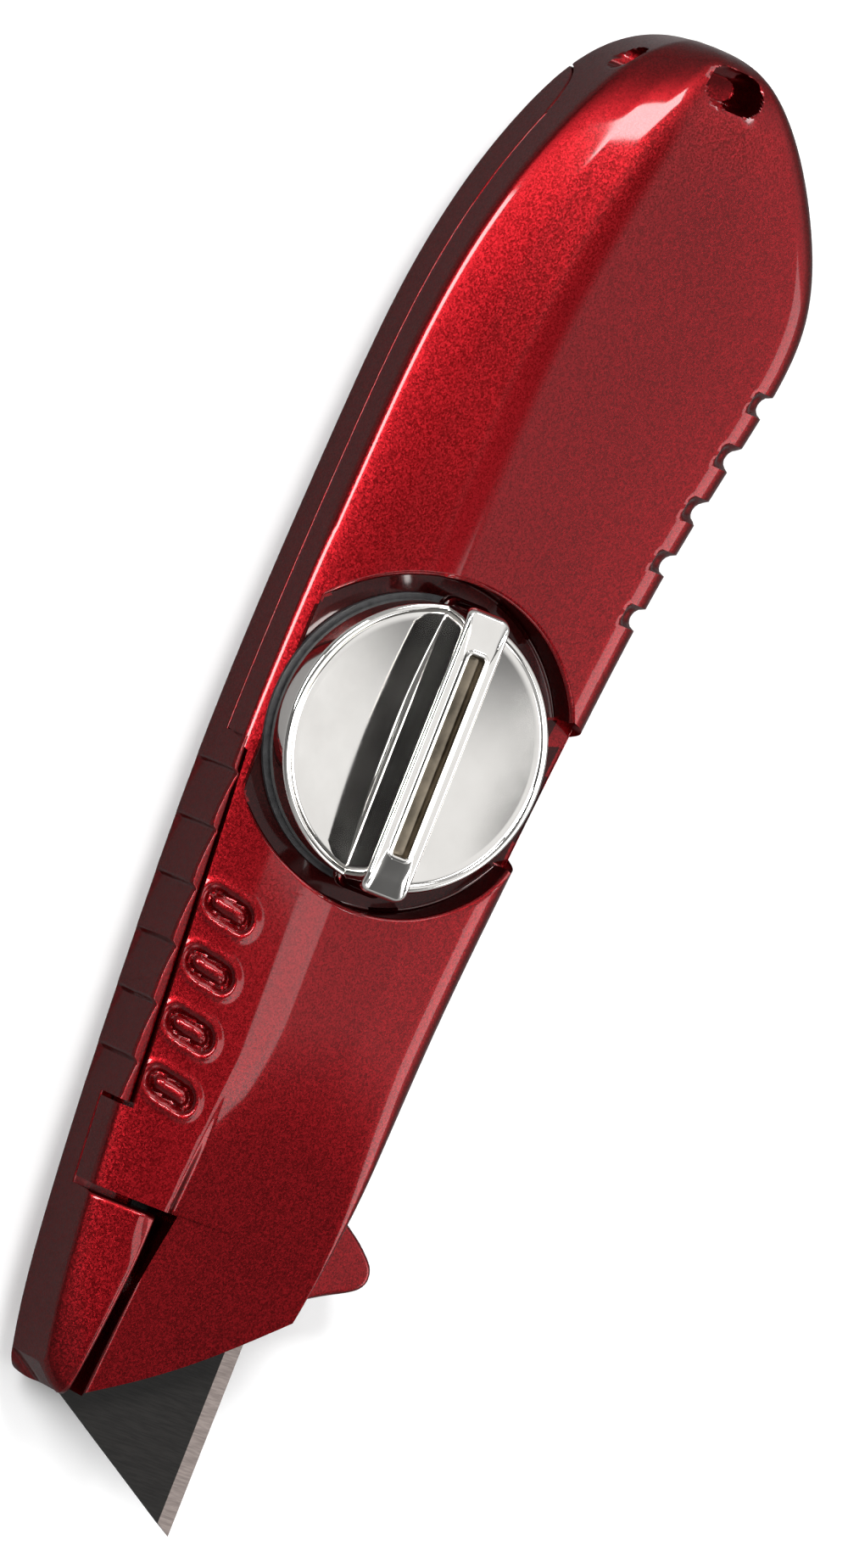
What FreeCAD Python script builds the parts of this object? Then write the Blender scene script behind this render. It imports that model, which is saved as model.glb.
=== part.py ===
"""Utility knife with a fixed trapezoid blade, a hinged front shell and a chrome lock dial.

The knife lies on its back: +X runs to the butt, the tip points to -X, +Y is the thumb side (spine),
-Y is the cutting side (belly) and +Z is up through the dial. The dial turns about Z at X = Y = 0,
and the flat back rests on Z = 0. All sizes are millimetres.
"""
import FreeCAD, Part
import math
import os
import Sketcher

V = FreeCAD.Vector
UP = V(0, 0, 1)

os.makedirs("parts", exist_ok=True)
doc = FreeCAD.newDocument("utility_knife")

# ---------------------------------------------------------------- driving dimensions

SIZES = {
    # handle
    "seam_height": 10.0, "body_height": 20.0, "seam_gap": 0.1, "wall": 2.0, "face_crown": 0.3,
    "back_facet": 5.0, "back_extra": 0.25,
    "nose_plane_x": -37.0, "nose_plane_slope": 0.154, "nose_cavity_x": -24.0,
    # blade and its seat
    "blade_length": 61.0, "blade_width": 18.9, "blade_thick": 0.65, "blade_short": 39.2,
    "blade_bevel": 1.9, "blade_edge_thick": 0.06, "blade_x": -57.4, "blade_y": -2.55,
    "blade_room": 0.15, "notch_pitch": 12.7, "notch_width": 3.3, "notch_depth": 2.6,
    "pin_radius": 1.45, "pin_bottom": 6.4, "pin_top": 11.2, "pin_inset": 1.05,
    "magnet_radius": 4.0, "magnet_thick": 2.0, "magnet_x": -38.0, "magnet_y": -2.5,
    "pad_length": 14.0, "pad_width": 11.0, "pad_thick": 1.6, "pad_x": -56.0, "pad_y": -5.0,
    "contact_gap": 0.075,
    # dial and its recess
    "dial_radius": 15.55, "dial_bottom": 15.9, "dial_top": 20.0, "dial_dish": 0.7,
    "bar_length": 32.0, "bar_width": 5.4, "bar_top": 25.1, "bar_slot_length": 22.5,
    "bar_slot_width": 1.9, "bar_slot_depth": 1.0,
    "recess_radius": 18.25, "recess_floor": 15.25, "floor_under": 13.2,
    "washer_radius": 16.0, "washer_thick": 0.45,
    # spindle, bayonet foot and lock plate
    "hub_radius": 4.0, "hub_bottom": 9.5, "hub_top": 18.2, "running_gap": 0.05,
    "groove_radius": 3.2, "groove_bottom": 11.9, "groove_width": 0.8, "clip_thick": 0.7,
    "clip_radius": 5.4, "wave_thick": 0.35,
    "neck_radius": 2.6, "foot_length": 13.0, "foot_width": 5.0, "foot_bottom": 5.6,
    "foot_top": 7.2, "slot_length": 14.2, "slot_width": 6.2,
    "plate_bottom": 7.6, "plate_thick": 1.4, "plate_length": 18.4, "plate_width": 28.0,
    "boss_radius": 2.9, "screw_y": 11.0, "screw_radius": 1.25, "head_radius": 2.3,
    "head_thick": 1.2, "plate_screw_length": 5.2,
    # detent between dial and front shell
    "detent_x": 11.5, "ball_radius": 1.25, "ball_z": 14.5, "detent_bore": 1.35,
    "detent_bottom": 11.2, "spring_wire": 0.2,
    # hinge of the front shell
    "hinge_x": 67.7, "hinge_z": 3.8, "knuckle_radius": 5.9, "knuckle_gap": 0.3,
    "hinge_pin_radius": 1.2, "hinge_pin_inner": 4.0, "hinge_pin_outer": -20.4,
    "lug_radius": 2.6, "lug_width": 3.0, "lug_inner_y": -1.4, "lug_outer_y": -14.6, "tab_top": 14.6,
    "lug_gap": 0.3, "bush_radius": 1.8,
    # spare blade store
    "store_end_x": 64.7, "spare_x": 33.9, "spare_y": -3.0, "tray_thick": 0.8, "tray_length": 36.0,
    "tray_rail": 2.2, "ear_x": 44.0, "ear_length": 16.0, "ear_reach": -17.0,
    "tray_screw_y": -15.3, "tray_screw_pitch": 8.0, "tray_screw_length": 3.0,
    "tray_screw_radius": 1.0, "tray_head_radius": 1.6, "leaf_thick": 0.4,
    # details on the handle
    "ridge_first": -8.8, "ridge_pitch": 6.42, "ridge_count": 6, "ridge_depth": 0.75,
    "tab_rear_x": -5.3, "tab_front_x": -45.6, "tab_gap": 0.15, "tab_end_gap": 0.5,
    "oval_first": -22.0, "oval_pitch": 6.6, "oval_count": 4, "oval_y": 11.8, "oval_z": 15.9,
    "oval_length": 6.2, "oval_width": 3.2, "oval_ring": 0.9,
    "notch_first": 21.4, "finger_pitch": 6.5, "finger_count": 5, "finger_radius": 1.25,
    "guard_bottom": 5.0,
    "lanyard_x": 76.2, "lanyard_z": 12.6, "lanyard_radius": 1.7, "lanyard_pocket_y": -8.0,
    "lanyard_pocket_width": 8.0, "lanyard_pocket_length": 4.6,
}

sheet = doc.addObject("Spreadsheet::Sheet", "Sizes")
for row, (alias, value) in enumerate(SIZES.items(), start=1):
    sheet.set(f"A{row}", alias)
    sheet.set(f"B{row}", str(value))
    sheet.setAlias(f"B{row}", alias)
doc.recompute()


def size(alias):
    """Value of one driving dimension, read back from the sheet."""
    return float(sheet.get(alias))


def value_of(expression):
    """Number that an expression on the sheet works out to."""
    result = sheet.evalExpression(expression)
    return float(getattr(result, "Value", result))


# ---------------------------------------------------------------- helpers: PartDesign

def new_body(label):
    body = doc.addObject("PartDesign::Body", label)
    body.Label = label
    return body


def sketch_on(body, name, role="XY_Plane", lift="0"):
    """Sketch on one of the body's own origin planes, lifted along the plane's normal."""
    sketch = body.newObject("Sketcher::SketchObject", name)
    plane = next(f for f in body.Origin.OriginFeatures if f.Role == role)
    sketch.AttachmentSupport = [(plane, "")]
    sketch.MapMode = "FlatFace"
    sketch.setExpression("AttachmentOffset.Base.z", f"({lift}) * 1 mm")
    return sketch


def fix_point(sketch, geometry, point, x, y):
    """Hold a sketch point at the two expressions x and y, measured from the sketch's origin."""
    for kind, expression in (("DistanceX", x), ("DistanceY", y)):
        rule = Sketcher.Constraint(kind, -1, 1, geometry, point, value_of(expression))
        index = sketch.addConstraint(rule)
        sketch.setExpression(f"Constraints[{index}]", expression)


def add_polygon(sketch, corners):
    """Closed polygon whose corners are pairs of expressions."""
    points = [V(value_of(x), value_of(y), 0) for x, y in corners]
    first = sketch.GeometryCount
    count = len(points)
    for index, point in enumerate(points):
        sketch.addGeometry(Part.LineSegment(point, points[(index + 1) % count]), False)
    for index in range(count):
        following = first + (index + 1) % count
        sketch.addConstraint(Sketcher.Constraint("Coincident", first + index, 2, following, 1))
    for index, (x, y) in enumerate(corners):
        fix_point(sketch, first + index, 1, x, y)


def add_circle(sketch, x, y, radius):
    """Circle with its centre and radius given as expressions."""
    centre = V(value_of(x), value_of(y), 0)
    index = sketch.addGeometry(Part.Circle(centre, UP, value_of(radius)), False)
    rule = sketch.addConstraint(Sketcher.Constraint("Radius", index, value_of(radius)))
    sketch.setExpression(f"Constraints[{rule}]", radius)
    fix_point(sketch, index, 3, x, y)


def feature(body, kind, name, sketch, **expressions):
    """PartDesign feature on a sketch, with its sizes bound to expressions."""
    item = body.newObject(f"PartDesign::{kind}", name)
    item.Profile = sketch
    for prop, expression in expressions.items():
        item.setExpression(prop, expression)
    return item


def cut_checked(body, item):
    """Turn a pocket round when it has removed nothing, then make sure that it cuts."""
    doc.recompute()
    base = item.BaseFeature.Shape.Volume
    if base - item.Shape.Volume < 1e-6:
        item.Reversed = not item.Reversed
        doc.recompute()
    if base - item.Shape.Volume < 1e-6:
        raise RuntimeError(f"{body.Label}: {item.Name} cuts nothing")


# ---------------------------------------------------------------- helpers: Part solids

def box(x0, y0, z0, x1, y1, z1):
    return Part.makeBox(x1 - x0, y1 - y0, z1 - z0, V(x0, y0, z0))


def rod(radius, start, end):
    """Round bar between two points."""
    return Part.makeCylinder(radius, (end - start).Length, start, end - start)


def prism(points, z0, z1):
    """Upright solid on a plan polygon."""
    corners = [V(x, y, z0) for x, y in points]
    wire = Part.makePolygon(corners + corners[:1])
    return Part.Face(wire).extrude(V(0, 0, z1 - z0))


def oblong(length, width, height):
    """Bar with half-round ends, long side on X, standing on z = 0 about the origin."""
    radius = width / 2
    reach = length / 2 - radius
    middle = box(-reach, -radius, 0, reach, radius, height)
    ends = [Part.makeCylinder(radius, height, V(side * reach, 0, 0)) for side in (-1, 1)]
    return middle.multiFuse(ends).removeSplitter()


def feature_of(label, shape):
    """Document object that holds a finished shape."""
    item = doc.addObject("Part::Feature", label)
    item.Label = label
    item.Shape = shape
    item.Placement = shape.Placement
    return item


# ---------------------------------------------------------------- handle surface

# Stations along X: spine edge, belly edge, crease line, height over the seam, shoulder height.
# The surface is a B-spline, cubic along X and quadratic round the section, on these values.
STATIONS = (
    (-77.2, 10.8, -12.4, 4.0, 10.0, 5.0),
    (-71.0, 12.5, -12.4, 4.0, 10.0, 5.0),
    (-60.0, 13.8, -13.5, 4.0, 10.0, 5.0),
    (-46.0, 15.0, -15.1, 4.0, 10.0, 5.0),
    (-28.0, 16.1, -15.5, 4.0, 10.0, 5.0),
    (-9.0, 17.0, -17.3, 4.0, 10.0, 5.0),
    (10.0, 16.7, -19.1, 4.0, 10.0, 5.0),
    (28.0, 15.9, -21.3, 4.0, 10.0, 5.0),
    (44.0, 15.0, -24.9, 3.5, 10.0, 5.2),
    (57.0, 12.5, -27.5, 1.5, 10.0, 5.4),
    (68.0, 8.5, -22.3, -0.5, 10.0, 5.8),
    (77.5, 3.3, -15.3, -3.0, 9.4, 5.6),
    (80.9, -2.8, -9.7, -5.0, 7.4, 4.0),
    (80.9, -5.6, -6.8, -6.2, 1.2, 0.6),
)
FULL_WIDTH = 30.0
BELLY_ROUND = 8.0


def section_poles(station, inset, extra):
    """Poles of one half section, from the seam at the spine to the seam at the belly.

    The back half is the one with something extra: it is ground flat there, and its facet is narrow.
    """
    x, spine, belly, crease, height, shoulder = station
    if extra:
        crease = max(crease, spine - size("back_facet"))
    scale = min(1.0, (spine - belly) / FULL_WIDTH)
    lift = height / STATIONS[0][4]
    crown = size("face_crown") * lift
    if inset:
        spine -= inset
        belly += inset
        height -= inset
        shoulder -= inset / 2
    height += extra * lift
    slope_y = crease - spine
    slope_z = height - crown - shoulder
    length = math.hypot(slope_y, slope_z) or 1.0
    step_y = slope_y / length * scale
    step_z = slope_z / length * scale
    corner = height - crown - 0.2 * lift
    section = (
        (spine, 0.0),
        (spine, shoulder - 1.2 * lift),
        (spine, shoulder),
        (spine + 1.4 * step_y, shoulder + 1.4 * step_z),
        (crease - 3.0 * step_y, height - crown - 3.0 * step_z),
        (crease, height - crown),
        (crease - 3.0 * scale, height - 0.4 * crown),
        ((crease + belly) / 2, height),
        (belly + BELLY_ROUND * scale, height - 0.3 * crown),
        (belly, corner),
        (belly, corner - 0.75 * BELLY_ROUND * lift),
        (belly, 0.0),
    )
    return [V(x, y, size("seam_height") + z) for y, z in section]


def clamped_knots(poles, degree):
    """Knots and multiplicities of an open uniform B-spline."""
    spans = poles - degree
    knots = [float(k) for k in range(spans + 1)]
    counts = [degree + 1] + [1] * (spans - 1) + [degree + 1]
    return knots, counts


def handle_half(inset=0.0, extra=0.0):
    """Solid between the seam plane and the skin of the front half.

    An inset gives the cavity's solid, which stops short of the butt.
    """
    stations = STATIONS[:-2] if inset else STATIONS
    poles = [section_poles(station, inset, extra) for station in stations]
    knots_u, counts_u = clamped_knots(len(poles), 3)
    knots_v, counts_v = clamped_knots(len(poles[0]), 2)
    surface = Part.BSplineSurface()
    surface.buildFromPolesMultsKnots(poles, counts_u, counts_v, knots_u, knots_v, False, False, 3, 2)
    skin = surface.toShape()
    spine = surface.vIso(knots_v[0]).toShape()
    belly = surface.vIso(knots_v[-1]).toShape()
    faces = [skin]
    lines = []
    for knot, row in ((knots_u[0], poles[0]), (knots_u[-1], poles[-1])):
        line = Part.makeLine(row[0], row[-1])
        lines.append(line)
        faces.append(Part.Face(Part.Wire([surface.uIso(knot).toShape(), line])))
    faces.append(Part.Face(Part.Wire([spine, lines[1], belly, lines[0]])))
    shell = Part.Shell(faces)
    shell.sewShape()
    solid = Part.Solid(shell)
    if solid.Volume < 0:
        solid.reverse()
    return solid


def back_half(inset=0.0):
    """The back half, turned over to lie under the seam and cut flat where it rests."""
    half = handle_half(inset, size("back_extra")).mirror(V(0, 0, size("seam_height")), UP)
    return half.cut(box(-100, -60, -5, 100, 60, inset))


# ---------------------------------------------------------------- regions that divide the halves

TALL = 60.0


def nose_edge(grow=0.0):
    """Plan region behind the slanted front edge of the nose, as an upright solid.

    The edge is an arc through three points and runs on into the blunt end of the spine strip.
    """
    top = V(-76.6 - grow, 6.4, 0)
    middle = V(-70.3 - grow, -3.0, 0)
    bottom = V(-61.5 - grow, -13.4, 0)
    corners = [V(-60.5 - grow, -40, 0), V(95, -40, 0), V(95, 40, 0), V(-77.2 - grow, 40, 0)]
    start = V(-77.2 - grow, 7.4, 0)
    edges = [Part.Arc(top, middle, bottom).toShape(), Part.makeLine(bottom, corners[0])]
    edges += [Part.makeLine(a, b) for a, b in zip(corners, corners[1:])]
    edges += [Part.makeLine(corners[-1], start), Part.makeLine(start, top)]
    return Part.Face(Part.Wire(edges)).extrude(V(0, 0, TALL)).translated(V(0, 0, -TALL / 3))


def over_nose_plane(sink=0.0):
    """Everything over the slanted plane of the nose, on its belly side of the spine facet."""
    start = size("nose_plane_x")
    slope = size("nose_plane_slope")
    reach = 60.0
    top = size("body_height") - sink
    side = [V(start, 0, top), V(start - reach, 0, top - slope * reach),
            V(start - reach, 0, top + 20), V(start, 0, top + 20)]
    face = Part.Face(Part.makePolygon(side + side[:1]))
    return face.extrude(V(0, 80, 0)).translated(V(0, -40, 0))


def spine_strip(grow, z0):
    """Plan region of the nose piece on the spine side of the slot."""
    back_x = -55.8
    corners = ((back_x + grow, 7.0 - grow), (back_x + grow, 30), (-90, 30), (-90, 9.4 - grow))
    return prism(corners, z0, TALL)


def ridge_tab(grow, end_grow, z0):
    """Plan region of the thumb tab that wraps up over the spine."""
    rear = size("tab_rear_x") + grow
    front = size("tab_front_x") - end_grow
    corners = ((rear, 16.3 - grow), (front, 13.6 - grow), (front, 30), (rear, 30))
    return prism(corners, z0, 17.5)


def hinge_axis(radius, y0=-60.0, y1=60.0):
    """Bar along the hinge axis."""
    return rod(radius, V(size("hinge_x"), y0, size("hinge_z")), V(size("hinge_x"), y1, size("hinge_z")))


def lug_range(outer, gap=0.0):
    """The Y limits of one hinge lug of the front shell."""
    width = size("lug_width")
    start = size("lug_outer_y") if outer else size("lug_inner_y")
    return start - gap, start + width + gap


def finger_notches():
    """Upright grooves for the finger along the belly, cut through both shells."""
    cutters = []
    for index in range(int(size("finger_count"))):
        x = size("notch_first") + index * size("finger_pitch")
        y = belly_at(x) + 0.1
        cutters.append(Part.makeCylinder(size("finger_radius"), TALL, V(x, y, -10)))
    return cutters


def edge_at(x, column):
    """One edge of the handle at a place along X, from the straight runs between stations."""
    inside = [s for s in STATIONS if s[0] <= x]
    left = inside[-1]
    right = STATIONS[len(inside)]
    share = (x - left[0]) / (right[0] - left[0])
    return left[column] + share * (right[column] - left[column])


def belly_at(x):
    """Belly edge of the handle at a place along X, set in by the bow of the surface."""
    return edge_at(x, 2) + 0.35


def spine_at(x):
    """Spine edge of the handle at a place along X."""
    return edge_at(x, 1)


def blade_outline(grow):
    """Plan polygon of the seated blade, grown by a clearance."""
    half = size("blade_length") / 2 + grow
    short = size("blade_short") / 2 + grow
    width = size("blade_width") / 2 + grow
    x, y = size("blade_x"), size("blade_y")
    return ((x - half, y - width), (x + half, y - width), (x + short, y + width), (x - short, y + width))


def pin_places():
    """Centres of the two locating pins, which stand in the notches of the blade's back edge."""
    y = size("blade_y") + size("blade_width") / 2 - size("pin_inset")
    half = size("notch_pitch") / 2
    return [(size("blade_x") + side * half, y) for side in (-1, 1)]


# ---------------------------------------------------------------- back shell

def guard():
    """Finger guard: a rounded tongue that stands out from the belly of the back shell."""
    bottom, seam = size("guard_bottom"), size("seam_height")
    curve = Part.BSplineCurve()
    outline = [V(-47.6, -13.0, 0), V(-48.6, -15.6, 0), V(-50.0, -18.6, 0), V(-52.0, -21.6, 0),
               V(-54.0, -23.4, 0), V(-56.2, -22.8, 0), V(-58.4, -18.6, 0), V(-61.3, -13.6, 0)]
    curve.interpolate(outline)
    wire = Part.Wire([curve.toShape(), Part.makeLine(outline[-1], outline[0])])
    return Part.Face(wire).extrude(V(0, 0, seam - bottom)).translated(V(0, 0, bottom))


def ridge_steps():
    """Wedges that cut the saw-tooth thumb grip into the tab."""
    cutters = []
    depth = size("ridge_depth")
    for index in range(int(size("ridge_count"))):
        x = size("ridge_first") - index * size("ridge_pitch")
        y = spine_at(x)
        far = spine_at(x - size("ridge_pitch"))
        low = size("ridge_pitch") * 0.86
        corners = ((x, y - depth), (x - low, far + 0.1), (x - low, far + 3), (x, y + 3))
        cutters.append(prism(corners, 6.0, 17.0))
    return cutters


def make_back_shell():
    seam = size("seam_height")
    wall = size("wall")
    axis_x, axis_z = size("hinge_x"), size("hinge_z")
    skin = back_half()
    nose_under = over_nose_plane().mirror(V(0, 0, seam), UP)
    skin = skin.common(nose_edge()).cut(nose_under)
    before_hinge = box(-100, -60, -1, axis_x, 60, seam)
    skin = skin.common(before_hinge.fuse(hinge_axis(size("knuckle_radius"))))
    store = back_half(wall).common(box(size("nose_cavity_x"), -60, wall, size("store_end_x"), 60, seam + 1))
    shell = skin.cut(store)

    front = handle_half()
    strip = front.common(spine_strip(0.0, seam - 0.01)).cut(over_nose_plane(0.3))
    tab = front.common(ridge_tab(0.0, 0.0, seam - 0.01)).cut(box(-60, 0, size("tab_top"), 0, 30, 30))
    shell = shell.multiFuse([strip, tab, guard()])
    shell = shell.cut(ridge_steps())

    bosses = [rod(size("boss_radius"), V(0, side * size("screw_y"), wall),
                  V(0, side * size("screw_y"), size("plate_bottom"))) for side in (-1, 1)]
    shell = shell.multiFuse(bosses)
    blade_z = seam - size("blade_thick") / 2
    cutters = [prism(blade_outline(size("blade_room")), blade_z, seam + 0.6)]
    cutters += [rod(size("pin_radius"), V(x, y, size("pin_bottom")), V(x, y, seam))
                for x, y in pin_places()]
    magnet_x, magnet_y = size("magnet_x"), size("magnet_y")
    magnet_top = blade_z - size("contact_gap")
    cutters.append(rod(size("magnet_radius"), V(magnet_x, magnet_y, magnet_top - size("magnet_thick")),
                       V(magnet_x, magnet_y, seam)))
    for outer in (True, False):
        y0, y1 = lug_range(outer, size("lug_gap"))
        cutters.append(box(axis_x - size("lug_radius") - size("lug_gap"), y0,
                           axis_z - size("lug_radius") - size("lug_gap"), 95, y1, seam + 1))
    cutters.append(hinge_axis(size("hinge_pin_radius"), -40, size("hinge_pin_inner")))
    depth = size("plate_screw_length") - size("plate_thick")
    for side in (-1, 1):
        place = V(0, side * size("screw_y"), size("plate_bottom"))
        cutters.append(rod(size("screw_radius"), place, place - V(0, 0, depth)))
    for x, y, z in tray_screw_places():
        foot = z - size("tray_screw_length") + size("leaf_thick") + size("tray_thick")
        cutters.append(rod(size("tray_screw_radius"), V(x, y, foot), V(x, y, z + 1)))
    return shell.cut(cutters + finger_notches())


def tray_screw_places():
    """Where the two tray screws pass the back shell's floor."""
    half = size("tray_screw_pitch") / 2
    return [(size("ear_x") + side * half, size("tray_screw_y"), size("wall")) for side in (-1, 1)]


# ---------------------------------------------------------------- front shell

def oval_marks():
    """Four engraved rings on the slanted facet by the thumb."""
    tilt = FreeCAD.Rotation(V(1, 0, 0), -23.0)
    turn = FreeCAD.Rotation(UP, 90.0)
    ring = oblong(size("oval_length"), size("oval_width"), 6.0)
    width = 2 * size("oval_ring")
    island = oblong(size("oval_length") - width, size("oval_width") - width, 6.0)
    ring = ring.cut(island)
    marks = []
    for index in range(int(size("oval_count"))):
        place = V(size("oval_first") - index * size("oval_pitch"), size("oval_y"), size("oval_z"))
        mark = ring.copy()
        mark.Placement = FreeCAD.Placement(place, tilt * turn)
        marks.append(mark)
    return marks


def make_front_shell():
    seam = size("seam_height") + size("seam_gap")
    wall = size("wall")
    axis_x, axis_z = size("hinge_x"), size("hinge_z")
    clear = size("knuckle_radius") + size("knuckle_gap")
    half = handle_half().common(nose_edge())
    half = half.cut(over_nose_plane().common(box(-100, -60, 0, 0, 7.0, 60)))
    slot = prism(((-55.3, 4.7), (-55.3, 7.6), (-80, 9.6), (-80, 6.6)), 0, TALL)
    for cutter in (box(-100, -60, 0, 100, 60, seam), spine_strip(0.8, 0), slot,
                   ridge_tab(size("tab_gap"), size("tab_end_gap"), 0)):
        half = half.cut(cutter)

    cap = back_half().common(box(axis_x, -60, 0, 100, 60, seam + 0.2))
    half = half.cut(box(axis_x - 0.01, -60, 0, 100, 60, seam + 0.1))
    cap = cap.fuse(handle_half().common(box(axis_x - 0.02, -60, seam - 0.2, 100, 60, seam + 0.2)))
    shell = half.fuse(cap).cut(hinge_axis(clear))

    cavity = handle_half(wall).common(box(size("nose_cavity_x") + 1, -60, seam - 1, 61.5, 60, 18.0))
    floor_z, under = size("recess_floor"), size("floor_under")
    recess = size("recess_radius")
    cavity = cavity.cut(Part.makeCylinder(recess + wall, 30, V(0, 0, under)))
    lugs = []
    for outer in (True, False):
        y0, y1 = lug_range(outer)
        radius = size("lug_radius")
        lugs.append(box(axis_x - radius, y0, axis_z, axis_x + radius, y1, 13.0))
        lugs.append(hinge_axis(radius, y0, y1))
    detent_x = size("detent_x")
    boss_foot = V(detent_x, 0, size("detent_bottom") - 1)
    boss = rod(size("detent_bore") + 1.0, boss_foot, V(detent_x, 0, under + 0.5))
    shell = shell.cut(cavity).multiFuse(lugs + [boss])

    blade_top = seam - size("seam_gap") + size("blade_thick") / 2 + size("contact_gap")
    pad_x, pad_y = size("pad_x"), size("pad_y")
    half_length, half_width = size("pad_length") / 2, size("pad_width") / 2
    cutters = [
        Part.makeCylinder(recess, 30, V(0, 0, floor_z)),
        Part.makeCylinder(size("hub_radius") + size("running_gap"), 30, V(0, 0, 5)),
        rod(size("detent_bore"), V(detent_x, 0, size("detent_bottom")), V(detent_x, 0, 30)),
        prism(blade_outline(2 * size("blade_room")), 0, blade_top),
        box(pad_x - half_length, pad_y - half_width, 0, pad_x + half_length, pad_y + half_width,
            blade_top + size("pad_thick")),
        hinge_axis(size("bush_radius"), lug_range(True)[0] - 1, lug_range(False)[1] + 1),
    ]
    cutters += [rod(size("pin_radius") + 0.5, V(x, y, 5), V(x, y, size("pin_top") + 0.5))
                for x, y in pin_places()]
    shell = shell.cut(cutters + oval_marks() + finger_notches())
    return shell.cut(lanyard_cut())


def lanyard_cut():
    """Scooped pocket on the front of the butt and the bore from it to the spine side."""
    x, z, y = size("lanyard_x"), size("lanyard_z"), size("lanyard_pocket_y")
    bore = rod(size("lanyard_radius"), V(x, y, z), V(x, 40, z))
    pocket = oblong(size("lanyard_pocket_width"), size("lanyard_pocket_length"), 20)
    pocket.Placement = FreeCAD.Placement(V(x, y, z - size("lanyard_radius")), FreeCAD.Rotation(UP, 90))
    return bore.fuse(pocket)


# ---------------------------------------------------------------- blades

def make_blade(label, x, y, z):
    """Trapezoid blade: the bevelled section is carried along X, then the ends and notches are cut."""
    body = new_body(label)
    section = sketch_on(body, f"{label}_section", "YZ_Plane", "-Sizes.blade_length / 2")
    half = "Sizes.blade_width / 2"
    thick = "Sizes.blade_thick / 2"
    edge = "Sizes.blade_edge_thick / 2"
    add_polygon(section, ((half, thick), (f"-({half}) + Sizes.blade_bevel", thick), (f"-({half})", edge),
                          (f"-({half})", f"-({edge})"),
                          (f"-({half}) + Sizes.blade_bevel", f"-({thick})"), (half, f"-({thick})")))
    feature(body, "Pad", f"{label}_strip", section, Length="Sizes.blade_length * 1 mm")
    ends = sketch_on(body, f"{label}_ends", "XY_Plane", "-Sizes.blade_thick")
    for side in ("", "-"):
        add_polygon(ends, ((f"{side}(Sizes.blade_length / 2)", f"-({half})"),
                           (f"{side}(Sizes.blade_length / 2 + 1)", f"-({half})"),
                           (f"{side}(Sizes.blade_length / 2 + 1)", f"{half} + 1"),
                           (f"{side}(Sizes.blade_short / 2 - 0.6)", f"{half} + 1")))
    cut = feature(body, "Pocket", f"{label}_end_cut", ends)
    cut.Type = 1
    cut_checked(body, cut)
    notches = sketch_on(body, f"{label}_notches", "XY_Plane", "-Sizes.blade_thick")
    for side in ("", "-"):
        centre = f"{side}(Sizes.notch_pitch / 2)"
        wide = "Sizes.notch_width / 2"
        add_polygon(notches, ((f"{centre} - {wide}", f"{half} + 1"), (f"{centre} - {wide}", f"{half} - 1.6"),
                              (f"{centre} - {wide} + 0.9", f"{half} - Sizes.notch_depth"),
                              (f"{centre} + {wide} - 0.9", f"{half} - Sizes.notch_depth"),
                              (f"{centre} + {wide}", f"{half} - 1.6"), (f"{centre} + {wide}", f"{half} + 1")))
    cut = feature(body, "Pocket", f"{label}_notch_cut", notches)
    cut.Type = 1
    cut_checked(body, cut)
    for axis, expression in zip("xyz", (x, y, z)):
        body.setExpression(f"Placement.Base.{axis}", f"({expression}) * 1 mm")
    return body


# ---------------------------------------------------------------- dial and spindle

def rounded_edges(body, base, name, radius, chosen):
    """Fillet on the edges of a feature that a test picks out."""
    doc.recompute()
    names = [f"Edge{k + 1}" for k, edge in enumerate(base.Shape.Edges) if chosen(edge)]
    fillet = body.newObject("PartDesign::Fillet", name)
    fillet.Base = (base, names)
    fillet.Radius = radius
    return fillet


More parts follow.
